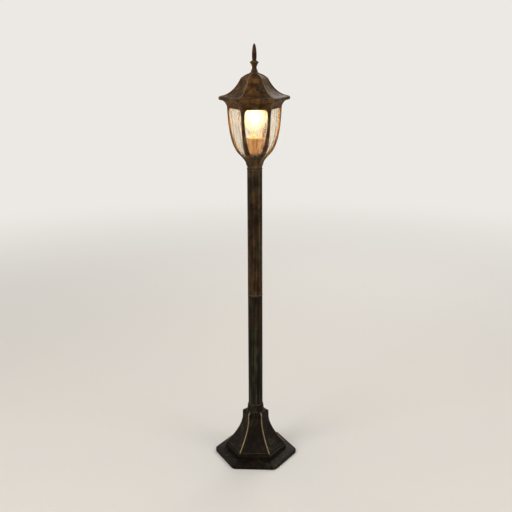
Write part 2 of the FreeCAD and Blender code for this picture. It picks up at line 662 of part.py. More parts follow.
def finial():
    """Turned spear on a disc, with the stud that goes down through the crown."""
    neck = ((FINIAL_FLARE_R, FINIAL_FLARE_H + FINIAL_FLARE_RUN), (FINIAL_NECK_R, FINIAL_NECK_H / 2),
            (FINIAL_NECK_R, FINIAL_NECK_H))
    belly = ((SPEAR_R, SPEAR_BELLY_H[0]), (SPEAR_R, SPEAR_BELLY_H[1]), (SPEAR_NECK_R, SPEAR_NECK_H))
    tip = ((SPEAR_TIP_R[0], SPEAR_TIP_H), (SPEAR_TIP_R[1], FINIAL_H), (0, FINIAL_H))
    solid = turned((0, 0), ((FINIAL_FOOT_R, 0),), ((FINIAL_FOOT_R, FINIAL_FOOT_T),),
                   ((FINIAL_FLARE_R, FINIAL_FLARE_H),), neck, ((FINIAL_CUP_R, FINIAL_CUP_H),),
                   ((FINIAL_DISC_R, FINIAL_DISC_H - FINIAL_DISC_EDGE / 2),),
                   ((FINIAL_DISC_R, FINIAL_DISC_H + FINIAL_DISC_EDGE / 2),),
                   ((SPEAR_FOOT_R, SPEAR_FOOT_H),), belly, tip)
    solid = solid.fuse(rod(STUD_R, -STUD_L, FINIAL_FOOT_T))
    return lifted(solid, FINIAL_Z)


def finial_washer():
    return ring(STUD_WASHER_R, STUD_R + THREAD_SLIP, ROOF_CEILING_Z - STUD_WASHER_T, ROOF_CEILING_Z)


def finial_nut():
    high = ROOF_CEILING_Z - STUD_WASHER_T
    return around(hex_nut(STUD_NUT_AF, STUD_R + THREAD_SLIP, high - STUD_NUT_T, high), HEAD_TURN)


# ---- lampholder ----------------------------------------
def lampholder_body():
    foot_in = HOLDER_ROUND * (1 - ARC)
    rim_h = HOLDER_H - HOLDER_RIM_H
    bore_r = SHELL_R + SHELL_T + SHELL_SLIP
    solid = turned((0, 0), ((HOLDER_FOOT_R - HOLDER_ROUND, 0),),
                   ((HOLDER_FOOT_R - foot_in, foot_in), (HOLDER_FOOT_R, HOLDER_ROUND)),
                   ((HOLDER_TOP_R - HOLDER_RIM_OUT, rim_h),), ((HOLDER_TOP_R, rim_h),),
                   ((HOLDER_TOP_R, HOLDER_H - HOLDER_RIM_CHAMFER),),
                   ((HOLDER_TOP_R - HOLDER_RIM_CHAMFER, HOLDER_H),), ((bore_r, HOLDER_H),),
                   ((bore_r, HOLDER_LEDGE_H),), ((HOLDER_LEDGE_R, HOLDER_LEDGE_H),),
                   ((HOLDER_LEDGE_R, HOLDER_FLOOR_T),), ((0, HOLDER_FLOOR_T),))
    solid = solid.cut(rod(TUBE_HOLE_R, -PAST, HOLDER_FLOOR_T + PAST))
    hole_r = TERMINAL_R + THREAD_SLIP
    for y in (-TERMINAL_PITCH / 2, TERMINAL_PITCH / 2):
        solid = solid.cut(rod(hole_r, HOLDER_FLOOR_T - TERMINAL_L, HOLDER_FLOOR_T + PAST, 0, y))
    return placed_holder(solid)


def placed_holder(shape):
    return lifted(around(shape, HEAD_TURN), HOLDER_Z)


def lampholder_shell():
    return placed_holder(ring(SHELL_R + SHELL_T, SHELL_R, HOLDER_LEDGE_H, HOLDER_LEDGE_H + SHELL_H))


def lampholder_contact():
    """Sprung strip from the holder's floor up to the bulb's contact."""
    top = BULB_SEAT - CONTACT_GAP
    low = HOLDER_FLOOR_T
    left = -HOLDER_LEDGE_R + CONTACT_CLEAR
    foot = -TUBE_R - CONTACT_CLEAR
    head = -TIP_R / 2
    bend = CONTACT_T * 2 / 3
    points = [(left, low), (foot, low), (head, top - CONTACT_T), (-head, top - CONTACT_T),
              (-head, top), (head - bend, top), (foot - bend, low + CONTACT_T), (left, low + CONTACT_T)]
    strip = Part.Face(Part.makePolygon([Vector(x, -CONTACT_W / 2, z) for x, z in points + points[:1]]))
    return placed_holder(strip.extrude(Vector(0, CONTACT_W, 0)))


def lampholder_screws():
    screws = []
    for y in (-TERMINAL_PITCH / 2, TERMINAL_PITCH / 2):
        head = rod(TERMINAL_HEAD_R, HOLDER_FLOOR_T, HOLDER_FLOOR_T + TERMINAL_HEAD_T, 0, y)
        shank_foot = HOLDER_FLOOR_T - TERMINAL_L + TERMINAL_SPARE
        screws.append(head.fuse(rod(TERMINAL_R, shank_foot, HOLDER_FLOOR_T, 0, y)))
    return placed_holder(Part.makeCompound(screws))


# ---- bulb ----------------------------------------
def bulb_contact():
    chamfer = TIP_T * 2 / 3
    solid = turned((0, 0), ((TIP_R - chamfer, 0),), ((TIP_R, chamfer),), ((TIP_R, TIP_T),), ((0, TIP_T),))
    return lifted(solid, BULB_Z)


def bulb_insulator():
    solid = turned((0, TIP_T), ((TIP_R, TIP_T),), ((INSULATOR_R, CAP_FOOT_H),), ((0, CAP_FOOT_H),))
    return lifted(solid, BULB_Z)


def bulb_cap():
    shoulder = CAP_FOOT_H + CAP_SHOULDER
    inner = CAP_R - CAP_WALL
    solid = turned((0, CAP_FOOT_H), ((INSULATOR_R, CAP_FOOT_H),), ((CAP_R, shoulder),), ((CAP_R, CAP_TOP_H),),
                   ((inner, CAP_TOP_H),), ((inner, shoulder + CAP_WALL),),
                   ((INSULATOR_R, CAP_FOOT_H + CAP_WALL * 2),), ((0, CAP_FOOT_H + CAP_WALL * 2),))
    return lifted(solid, BULB_Z)


def bulb_glass():
    def skin(inset):
        low = CAP_TOP_H - BULB_IN_CAP
        middle = BULB_H - BULB_R
        neck = (BULB_NECK_R - inset, CAP_TOP_H + BULB_NECK_L)
        belly = (BULB_R - inset, middle)
        top = (0, BULB_H - inset)
        flare = ((neck[0], neck[1] + BULB_NECK_RUN), (belly[0], middle - BULB_BELLY_RUN), belly)
        dome = (((BULB_R - inset) * ARC, middle + (BULB_R - inset) * ARC), top)
        return turned((0, low), ((neck[0], low),), (neck,), flare, dome)
    return lifted(skin(0).cut(skin(BULB_WALL)), BULB_Z)


def bulb_stem():
    low = CAP_TOP_H - BULB_IN_CAP
    brim = low + BULB_WALL
    flare = ((STEM_R, brim + STEM_FLARE_RUN / 3), (STEM_R, brim + STEM_FLARE_RUN * 2 / 3),
             (STEM_R, brim + STEM_FLARE_RUN))
    solid = turned((0, low), ((STEM_FLARE_R, low),), ((STEM_FLARE_R, brim),), flare,
                   ((STEM_R, STEM_H),), ((0, STEM_H),))
    return lifted(solid, BULB_Z)


def filament_ends():
    """Foot and head of each filament, leaning in towards the bulb's axis."""
    ends = []
    for step in range(FILAMENT_COUNT):
        angle = radians(45 + 360 * step / FILAMENT_COUNT)
        way = Vector(cos(angle), sin(angle), 0)
        foot = way * FILAMENT_FOOT_R + Vector(0, 0, BULB_Z + FILAMENT_FOOT_H)
        head = way * FILAMENT_HEAD_R + Vector(0, 0, BULB_Z + FILAMENT_FOOT_H + FILAMENT_L)
        ends.append((foot, head))
    return ends


def bulb_filaments():
    return Part.makeCompound([wire_rod(FILAMENT_R, foot, head) for foot, head in filament_ends()])


def bulb_supports():
    """Wires from the stem to the filaments' feet, and a mast to their heads."""
    stem_top = Vector(0, 0, BULB_Z + STEM_H)
    hub = Vector(0, 0, BULB_Z + FILAMENT_FOOT_H + FILAMENT_L + HUB_LIFT)
    wires = [wire_rod(WIRE_R, stem_top, hub)]
    for foot, head in filament_ends():
        wires.append(wire_rod(WIRE_R, stem_top + Vector(0, 0, WIRE_R), foot))
        wires.append(wire_rod(WIRE_R, hub - Vector(0, 0, WIRE_R), head))
    rods = [wire_rod(FILAMENT_R, foot, head) for foot, head in filament_ends()]
    return wires[0].fuse(wires[1:]).cut(Part.makeCompound(rods))


# ---- wiring ----------------------------------------
def bent_lead(radius, x, y, bend_r, top):
    """Round lead from the terminal block's face at x, in one bend, upright at x and y."""
    face = Vector(x, BLOCK_FACE_Y, BLOCK_H)
    bend_start = Vector(x, y + bend_r, BLOCK_H)
    bend_middle = Vector(x, y + bend_r * (1 - ARC), BLOCK_H + bend_r * (1 - ARC))
    bend_end = Vector(x, y, BLOCK_H + bend_r)
    path = Part.Wire([Part.LineSegment(face, bend_start).toShape(),
                      Part.Arc(bend_start, bend_middle, bend_end).toShape(),
                      Part.LineSegment(bend_end, Vector(x, y, top)).toShape()])
    section = Part.Wire(Part.makeCircle(radius, face, Vector(0, 1, 0)))
    lead = path.makePipeShell([section], True, False)
    print("lead %.0f mm long, bend radius %.0f mm, volume %.3f of its section times its length"
          % (path.Length, bend_r, lead.Volume / (pi * radius ** 2 * path.Length)))
    return lead


def internal_lead():
    """Mains lead from the terminal block up the tube to the holder."""
    return bent_lead(LEAD_R, 0, 0, LEAD_BEND_R, TUBE_TOP_Z + LEAD_END)


def tube_bush():
    """Rubber bush over the tube's lower end, which keeps the lead off its edge."""
    bore = LEAD_R + LEAD_SLIP
    grip = TUBE_R + LEAD_SLIP
    low = TUBE_FOOT_Z - BUSH_T
    high = TUBE_FOOT_Z + BUSH_GRIP
    return turned((bore, low), ((BUSH_R - BUSH_CHAMFER, low),), ((BUSH_R, low + BUSH_CHAMFER),),
                  ((BUSH_R, high),), ((grip, high),), ((grip, TUBE_FOOT_Z),), ((bore, TUBE_FOOT_Z),))


def terminal_block():
    """Moulded block with its terminal screws' wells on top."""
    block = Part.makeBox(BLOCK_W, BLOCK_D, BLOCK_T, Vector(-BLOCK_W / 2, BLOCK_FACE_Y, BLOCK_H - BLOCK_T / 2))
    block = block.makeChamfer(BLOCK_CHAMFER, [edge for edge in block.Edges if edge.BoundBox.ZLength > 1])
    top = BLOCK_H + BLOCK_T / 2
    for pole in range(BLOCK_POLES):
        x = BLOCK_PITCH * (pole - (BLOCK_POLES - 1) / 2)
        block = block.cut(rod(BLOCK_HOLE_R, top - BLOCK_HOLE_L, top + PAST, x, BLOCK_FACE_Y + BLOCK_D / 2))
    for x in (-BLOCK_SCREW_X, BLOCK_SCREW_X):
        block = block.cut(side_rod(SCREW_R + THREAD_SLIP, BLOCK_FACE_Y - PAST, BLOCK_SEAT_Y + PAST, x))
    return block


def terminal_block_screws():
    screws = []
    for x in (-BLOCK_SCREW_X, BLOCK_SCREW_X):
        head = side_rod(SCREW_HEAD_R, BLOCK_FACE_Y - SCREW_HEAD_T, BLOCK_FACE_Y, x)
        screws.append(head.fuse(side_rod(SCREW_R, BLOCK_FACE_Y, BLOCK_SEAT_Y + SCREW_L - SCREW_SPARE, x)))
    return Part.makeCompound(screws)


def earth_lug():
    """Ring under the base's floor, with a tongue to the barrel that takes the earth lead."""
    low = WEB_H - LUG_T
    tongue = Part.makeBox(EARTH_LEAD_X - EARTH_X, LUG_TONGUE_W, LUG_T,
                          Vector(EARTH_X, EARTH_Y - LUG_TONGUE_W / 2, low))
    barrel = rod(LUG_BARREL_R, low - LUG_BARREL_L, WEB_H, EARTH_LEAD_X, EARTH_Y)
    bore = rod(EARTH_LEAD_R + LEAD_SLIP, low - LUG_BARREL_L, low, EARTH_LEAD_X, EARTH_Y)
    solid = rod(LUG_R, low, WEB_H, EARTH_X, EARTH_Y).fuse([tongue, barrel])
    return solid.cut(bore).cut(rod(SCREW_R + THREAD_SLIP, low, WEB_H, EARTH_X, EARTH_Y))


def earth_screw():
    seat = WEB_H - LUG_T
    head = rod(SCREW_HEAD_R, seat - SCREW_HEAD_T, seat, EARTH_X, EARTH_Y)
    return head.fuse(rod(SCREW_R, seat, WEB_H + EARTH_L - SCREW_SPARE, EARTH_X, EARTH_Y))


def earth_lead():
    """Earth conductor from the terminal block, in one bend, up to its lug."""
    return bent_lead(EARTH_LEAD_R, EARTH_LEAD_X, EARTH_Y, EARTH_BEND_R, WEB_H - LUG_T)


# ---- writing ----------------------------------------
def pieces():
    found = {
        "base_casting": base_casting(),
        "pole_lower": pole_section(POLE_FOOT_Z, POLE_LOWER_L),
        "pole_coupling": pole_coupling(),
        "pole_upper": pole_section(POLE_JOINT_Z + COUPLING_RING_T, POLE_UPPER_L),
        "neck_ring": neck_ring(),
        "tie_tube": tie_tube(),
        "tie_washer": tie_washer(WEB_H - WASHER_T),
        "tie_nut": tie_nut(WEB_H - WASHER_T - NUT_T),
        "cage_washer": tie_washer(HEAD_Z + CAGE_FLOOR_H),
        "cage_nut": tie_nut(HEAD_Z + CAGE_FLOOR_H + WASHER_T),
        "holder_nut": tie_nut(HOLDER_Z - NUT_T),
        "lantern_cage": lantern_cage(),
        "glass_keeper": glass_keeper(),
        "roof_seal": roof_seal(),
        "roof_grub_screws": roof_grub_screws(),
        "roof_casting": roof_casting(),
        "finial": finial(),
        "finial_washer": finial_washer(),
        "finial_nut": finial_nut(),
        "lampholder_body": lampholder_body(),
        "lampholder_shell": lampholder_shell(),
        "lampholder_contact": lampholder_contact(),
        "lampholder_screws": lampholder_screws(),
        "bulb_contact": bulb_contact(),
        "bulb_insulator": bulb_insulator(),
        "bulb_cap": bulb_cap(),
        "bulb_glass": bulb_glass(),
        "bulb_stem": bulb_stem(),
        "bulb_filaments": bulb_filaments(),
        "bulb_supports": bulb_supports(),
        "internal_lead": internal_lead(),
        "tube_bush": tube_bush(),
        "terminal_block": terminal_block(),
        "terminal_block_screws": terminal_block_screws(),
        "earth_lug": earth_lug(),
        "earth_screw": earth_screw(),
        "earth_lead": earth_lead(),
    }
    for number, pane in enumerate(glass_panes(), 1):
        found["glass_pane_%d" % number] = pane
    return found


os.makedirs("parts", exist_ok=True)
for name, shape in pieces().items():
    if not shape.isValid():
        print("not valid:", name)
    shape.exportStep("parts/%s.step" % name)
    print("%-22s %d solid  %9.0f mm3  z %.1f to %.1f" % (name, len(shape.Solids), shape.Volume,
                                                        shape.BoundBox.ZMin, shape.BoundBox.ZMax))
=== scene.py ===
import math

import bpy
from mathutils import Matrix, Vector


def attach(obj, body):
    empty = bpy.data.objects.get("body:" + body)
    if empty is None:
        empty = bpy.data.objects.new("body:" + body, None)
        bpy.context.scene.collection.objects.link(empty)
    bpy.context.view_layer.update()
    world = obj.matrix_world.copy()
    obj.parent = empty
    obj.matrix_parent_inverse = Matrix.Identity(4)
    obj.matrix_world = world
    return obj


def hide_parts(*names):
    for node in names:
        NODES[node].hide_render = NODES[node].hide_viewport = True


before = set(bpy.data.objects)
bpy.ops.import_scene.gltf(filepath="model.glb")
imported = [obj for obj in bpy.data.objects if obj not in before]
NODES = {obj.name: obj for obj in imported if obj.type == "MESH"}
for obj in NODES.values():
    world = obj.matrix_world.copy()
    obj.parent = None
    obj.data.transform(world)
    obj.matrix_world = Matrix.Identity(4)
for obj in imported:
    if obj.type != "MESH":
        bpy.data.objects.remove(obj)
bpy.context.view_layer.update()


# ---- photographer's place ----
# The camera that was fitted to the base, the pole and the roof in the photograph: it stands
# two metres off, a little to the right of the front flat, and looks down by 16 degrees.
CAMERA_AT = (0.0974, -1.9644, 1.1196)
CAMERA_TURN = 2.84            # degrees, to the left
CAMERA_PITCH = 16.41          # down
CAMERA_ROLL = -0.224
CAMERA_LENS = 58.29
CAMERA_SENSOR = 36.0
CAMERA_SHIFT = 0.0019


def new_object(name, data):
    """An object of the scene, at the origin, that shows its data."""
    made = bpy.data.objects.new(name, data)
    bpy.context.scene.collection.objects.link(made)
    return made


camera = new_object("camera", bpy.data.cameras.new("camera"))
camera.data.lens = CAMERA_LENS
camera.data.sensor_width = CAMERA_SENSOR
camera.data.shift_x = CAMERA_SHIFT
camera.matrix_world = (Matrix.Translation(CAMERA_AT)
                       @ Matrix.Rotation(math.radians(CAMERA_TURN), 4, "Z")
                       @ Matrix.Rotation(math.radians(90 - CAMERA_PITCH), 4, "X")
                       @ Matrix.Rotation(math.radians(CAMERA_ROLL), 4, "Z"))
bpy.context.scene.camera = camera
bpy.context.scene.view_settings.view_transform = "Standard"


# ---- floor and studio ----
# A pale matt floor that fades into a pale room, and soft lamps round the object. The floor
# keeps the lamp's soft shadow.
def colour(red, green, blue):
    """A colour given in 0 to 255 as a screen shows it, as Blender's linear one."""
    shares = [value / 255 for value in (red, green, blue)]
    return tuple(s / 12.92 if s <= 0.04045 else ((s + 0.055) / 1.055) ** 2.4 for s in shares) + (1.0,)


def node(tree, kind, inputs=None, **settings):
    """A new node with its settings, and with each input given a value or another's output."""
    made = tree.nodes.new(kind)
    for name, value in settings.items():
        setattr(made, name, value)
    for name, value in (inputs or {}).items():
        if isinstance(value, bpy.types.NodeSocket):
            tree.links.new(value, made.inputs[name])
        else:
            made.inputs[name].default_value = value
    return made


def maths(tree, operation, first, second=0.0, third=0.0, clamp=False):
    """One step of arithmetic on numbers or outputs."""
    settings = {"operation": operation, "use_clamp": clamp}
    return node(tree, "ShaderNodeMath", {0: first, 1: second, 2: third}, **settings).outputs[0]


def between(tree, value, low, high, first=0.0, last=1.0):
    """Value carried smoothly from the span low to high into the span first to last."""
    settings = {"interpolation_type": "SMOOTHSTEP"}
    inputs = {"Value": value, "From Min": low, "From Max": high, "To Min": first, "To Max": last}
    return node(tree, "ShaderNodeMapRange", inputs, **settings).outputs["Result"]


def mixed(tree, share, first, second):
    """Two colours mixed."""
    return node(tree, "ShaderNodeMix", {0: share, 6: first, 7: second}, data_type="RGBA").outputs[2]


def empty_material(name):
    """A material with an empty tree, and that tree."""
    material = bpy.data.materials.new(name)
    material.use_nodes = True
    material.node_tree.nodes.clear()
    return material, material.node_tree


def surface(tree, shader):
    """Makes a shader the material's surface."""
    node(tree, "ShaderNodeOutputMaterial", {"Surface": shader})


FLOOR_R = 6.0
FLOOR_COLOUR = colour(226, 222, 216)
FLOOR_FADE = (0.9, 3.2)       # where the floor starts and ends its fade into the room
ROOM_COLOUR = colour(236, 233, 228)
ROOM_LIGHT = 0.62             # its strength on the object
ROOM_SHOWN = 1.0              # its strength as the camera, glass and metal show it


def dress_floor():
    """Matt paint that turns clear further out."""
    material, tree = empty_material("studio_floor")
    place = node(tree, "ShaderNodeTexCoord").outputs["Object"]
    away = node(tree, "ShaderNodeVectorMath", {0: place}, operation="LENGTH").outputs["Value"]
    matt = node(tree, "ShaderNodeBsdfDiffuse", {"Color": FLOOR_COLOUR}).outputs[0]
    clear = node(tree, "ShaderNodeBsdfTransparent").outputs[0]
    fade = between(tree, away, *FLOOR_FADE)
    surface(tree, node(tree, "ShaderNodeMixShader", {0: fade, 1: matt, 2: clear}).outputs[0])
    return material


floor_mesh = bpy.data.meshes.new("studio_floor")
floor_mesh.from_pydata([(-FLOOR_R, -FLOOR_R, 0), (FLOOR_R, -FLOOR_R, 0), (FLOOR_R, FLOOR_R, 0),
                        (-FLOOR_R, FLOOR_R, 0)], [], [(0, 1, 2, 3)])
floor = new_object("studio_floor", floor_mesh)
floor_mesh.materials.append(dress_floor())


def light_room():
    """A room that lights the object less than it shows."""
    world = bpy.data.worlds.new("studio_room")
    world.use_nodes = True
    tree = world.node_tree
    tree.nodes.clear()
    path = node(tree, "ShaderNodeLightPath").outputs
    seen = maths(tree, "MAXIMUM", path["Is Camera Ray"], path["Is Transmission Ray"])
    seen = maths(tree, "MAXIMUM", seen, path["Is Glossy Ray"])
    lit = node(tree, "ShaderNodeBackground", {"Color": ROOM_COLOUR, "Strength": ROOM_LIGHT}).outputs[0]
    shown = node(tree, "ShaderNodeBackground", {"Color": ROOM_COLOUR, "Strength": ROOM_SHOWN}).outputs[0]
    mix = node(tree, "ShaderNodeMixShader", {0: seen, 1: lit, 2: shown}).outputs[0]
    node(tree, "ShaderNodeOutputWorld", {"Surface": mix})
    bpy.context.scene.world = world


light_room()
SOFT_LAMPS = {                # name: (place, width, watts)
    "window_left": ((-1.6, -1.5, 1.9), 1.2, 26.0),
    "window_right": ((1.8, -1.0, 1.5), 1.0, 12.0),
    "window_back": ((0.5, 1.9, 1.8), 1.2, 16.0),
}
LAMPS_FACE = (0, 0, 0.5)
for name, (place, width, watts) in SOFT_LAMPS.items():
    lamp = new_object(name, bpy.data.lights.new(name, "AREA"))
    lamp.data.shape = "SQUARE"
    lamp.data.size = width
    lamp.data.energy = watts
    lamp.location = place
    aim = Vector(LAMPS_FACE) - Vector(place)
    lamp.rotation_euler = aim.to_track_quat("-Z", "Y").to_euler()


# ---- base casting ----
# The hexagonal bell-shaped foot is sand cast with a thin ridge on each corner, painted near
# black and brushed over by hand with antique bronze, which wears to a pale gold on the ridges.
# Its tones are set darker than the lantern's as painted shade, where the lamp's light falls off.
HALF = math.cos(math.pi / 6)  # a hexagon's flat distance over its radius
ARC = math.sin(math.pi / 4)
PROFILE_STEP = 2.5            # millimetres between a profile's points
SHARP_ARRIS = 0.8
WELD = 0.00001                # metres


def line_through(start, *steps, spacing=PROFILE_STEP):
    """Points in millimetres along a line of (radius, height). A step of one point is
    straight, of two a bow through the first to the second, and of three a smooth curve
    with two handles."""
    points = [start]
    for step in steps:
        here, end = points[-1], step[-1]
        count = max(2 if len(step) > 1 else 1, round(math.dist(here, end) / spacing))
        if len(step) == 2:
            middle = [2 * m - (a + b) / 2 for m, a, b in zip(step[0], here, end)]
            count = max(count, 4)
        for number in range(1, count + 1):
            t = number / count
            u = 1 - t
            if len(step) == 1:
                shares = ((u, here), (t, end))
            elif len(step) == 2:
                shares = ((u * u, here), (2 * u * t, middle), (t * t, end))
            else:
                shares = ((u ** 3, here), (3 * u * u * t, step[0]), (3 * u * t * t, step[1]),
                          (t ** 3, end))
            points.append(tuple(sum(share * point[axis] for share, point in shares) for axis in (0, 1)))
    return points


def moved(points, out, up):
    """A line moved outwards and up."""
    return [(r + out, z + up) for r, z in points]


def hexagon_rows(points, arris=SHARP_ARRIS, ridge=0.0):
    """Rows of a casting, each a hexagon: corner radius, arris, height, and 1 where the
    ridges run along its corners."""
    return [(r, arris, z, ridge) for r, z in points]


def blunted_rows(points, corner, arris, ridge=lambda r: 0.0):
    """Rows of a casting whose corners are blunted at its rim and sharpen further in."""
    return [(r, max(SHARP_ARRIS, arris - (corner - r) * HALF), z, ridge(r)) for r, z in points]


def round_rows(*points):
    """Rows of a casting that are circles of a radius at a height."""
    return [(r / HALF, r, z, 0.0) for r, z in points]


def row_mesh(name, rows):
    """A tree's start mesh: one loose point for each row, in metres."""
    mesh = bpy.data.meshes.new(name)
    mesh.from_pydata([(r / 1000, arris / 1000, z / 1000) for r, arris, z, flag in rows], [], [])
    flags = mesh.attributes.new("flag", "FLOAT", "POINT")
    for number, row in enumerate(rows):
        flags.data[number].value = row[3]
    return mesh


def new_tree(name, sizes):
    """A Geometry Nodes tree with one geometry in and out, and named inputs for its sizes."""
    tree = bpy.data.node_groups.new(name, "GeometryNodeTree")
    tree.interface.new_socket("Geometry", in_out="OUTPUT", socket_type="NodeSocketGeometry")
    tree.interface.new_socket("Geometry", in_out="INPUT", socket_type="NodeSocketGeometry")
    for label, kind in sizes.items():
        tree.interface.new_socket(label, in_out="INPUT", socket_type="NodeSocket" + kind)
    return tree, node(tree, "NodeGroupInput").outputs


def grown(name, start, tree, sizes):
    """The plain mesh that a tree makes of a start mesh, in an object at the origin."""
    seed = new_object(name + "_start", start)
    modifier = seed.modifiers.new("shape", "NODES")
    modifier.node_group = tree
    for item in tree.interface.items_tree:
        if item.in_out == "INPUT" and item.name in sizes:
            modifier[item.identifier] = sizes[item.name]
    graph = bpy.context.evaluated_depsgraph_get()
    mesh = bpy.data.meshes.new_from_object(seed.evaluated_get(graph), preserve_all_data_layers=True,
                                           depsgraph=graph)
    seed.modifiers.remove(modifier)
    bpy.data.objects.remove(seed)
    mesh.name = name
    return new_object(name, mesh)


def sampled_rows(tree, given, across):
    """The grid that a tree bends into its shape, with each of its points' row values and
    its number across: (grid, radius, arris, height, flag, station)."""
    source = given["Geometry"]
    rows = node(tree, "GeometryNodeAttributeDomainSize", {"Geometry": source}).outputs["Point Count"]
    grid = node(tree, "GeometryNodeMeshGrid", {"Vertices X": rows, "Vertices Y": across}).outputs["Mesh"]
    index = node(tree, "GeometryNodeInputIndex").outputs[0]
    row = maths(tree, "FLOOR", maths(tree, "DIVIDE", maths(tree, "ADD", index, 0.5), across))
    station = maths(tree, "SUBTRACT", index, maths(tree, "MULTIPLY", row, across))
    place = node(tree, "GeometryNodeInputPosition").outputs[0]
    flag = node(tree, "GeometryNodeInputNamedAttribute", {"Name": "flag"}, data_type="FLOAT")
    flag = flag.outputs["Attribute"]
    place = node(tree, "GeometryNodeSampleIndex", {"Geometry": source, "Value": place, "Index": row},
                 data_type="FLOAT_VECTOR").outputs["Value"]
    flag = node(tree, "GeometryNodeSampleIndex", {"Geometry": source, "Value": flag, "Index": row},
                data_type="FLOAT").outputs["Value"]
    parts = node(tree, "ShaderNodeSeparateXYZ", {0: place}).outputs
    return grid, parts[0], parts[1], parts[2], flag, station


def joined(tree, x, y, z):
    """A vector of three numbers."""
    return node(tree, "ShaderNodeCombineXYZ", {0: x, 1: y, 2: z}).outputs[0]


def blended(tree, share, first, last):
    """A number carried from first to last."""
    return node(tree, "ShaderNodeMix", {0: share, 2: first, 3: last}).outputs[0]


def about_pole(tree, turn):
    """A rotation about the pole's axis."""
    return node(tree, "FunctionNodeEulerToRotation", {0: joined(tree, 0.0, 0.0, turn)}).outputs[0]


def welded(tree, shape):
    """A bent grid with its seams welded and its faces pointing outwards."""
    shape = node(tree, "GeometryNodeMergeByDistance", {"Geometry": shape, "Distance": WELD}).outputs[0]
    return node(tree, "GeometryNodeFlipFaces", {"Mesh": shape}).outputs[0]


def finished(tree, shape, given, limit=34.0):
    """Smooth shading with sharp edges, the piece's place and its finish, and the output."""
    angle = node(tree, "GeometryNodeInputMeshEdgeAngle").outputs["Unsigned Angle"]
    sharp = node(tree, "FunctionNodeCompare", {0: angle, 1: math.radians(limit)},
                 operation="GREATER_THAN").outputs[0]
    shape = node(tree, "GeometryNodeSetShadeSmooth", {"Geometry": shape, "Shade Smooth": True}).outputs[0]
    shape = node(tree, "GeometryNodeSetShadeSmooth",
                 {"Geometry": shape, "Selection": sharp, "Shade Smooth": False}, domain="EDGE").outputs[0]
    turn = about_pole(tree, maths(tree, "RADIANS", given["Turn"]))
    lift = joined(tree, 0.0, 0.0, given["Lift"])
    shape = node(tree, "GeometryNodeTransform",
                 {"Geometry": shape, "Translation": lift, "Rotation": turn}).outputs[0]
    shape = node(tree, "GeometryNodeRealizeInstances", {"Geometry": shape}).outputs[0]
    finish = {"Geometry": shape, "Material": given["Finish"]}
    shape = node(tree, "GeometryNodeSetMaterial", finish).outputs[0]
    node(tree, "NodeGroupOutput", {"Geometry": shape})


SAND_LUMPS = 90.0             # lumps of a casting's skin in a metre


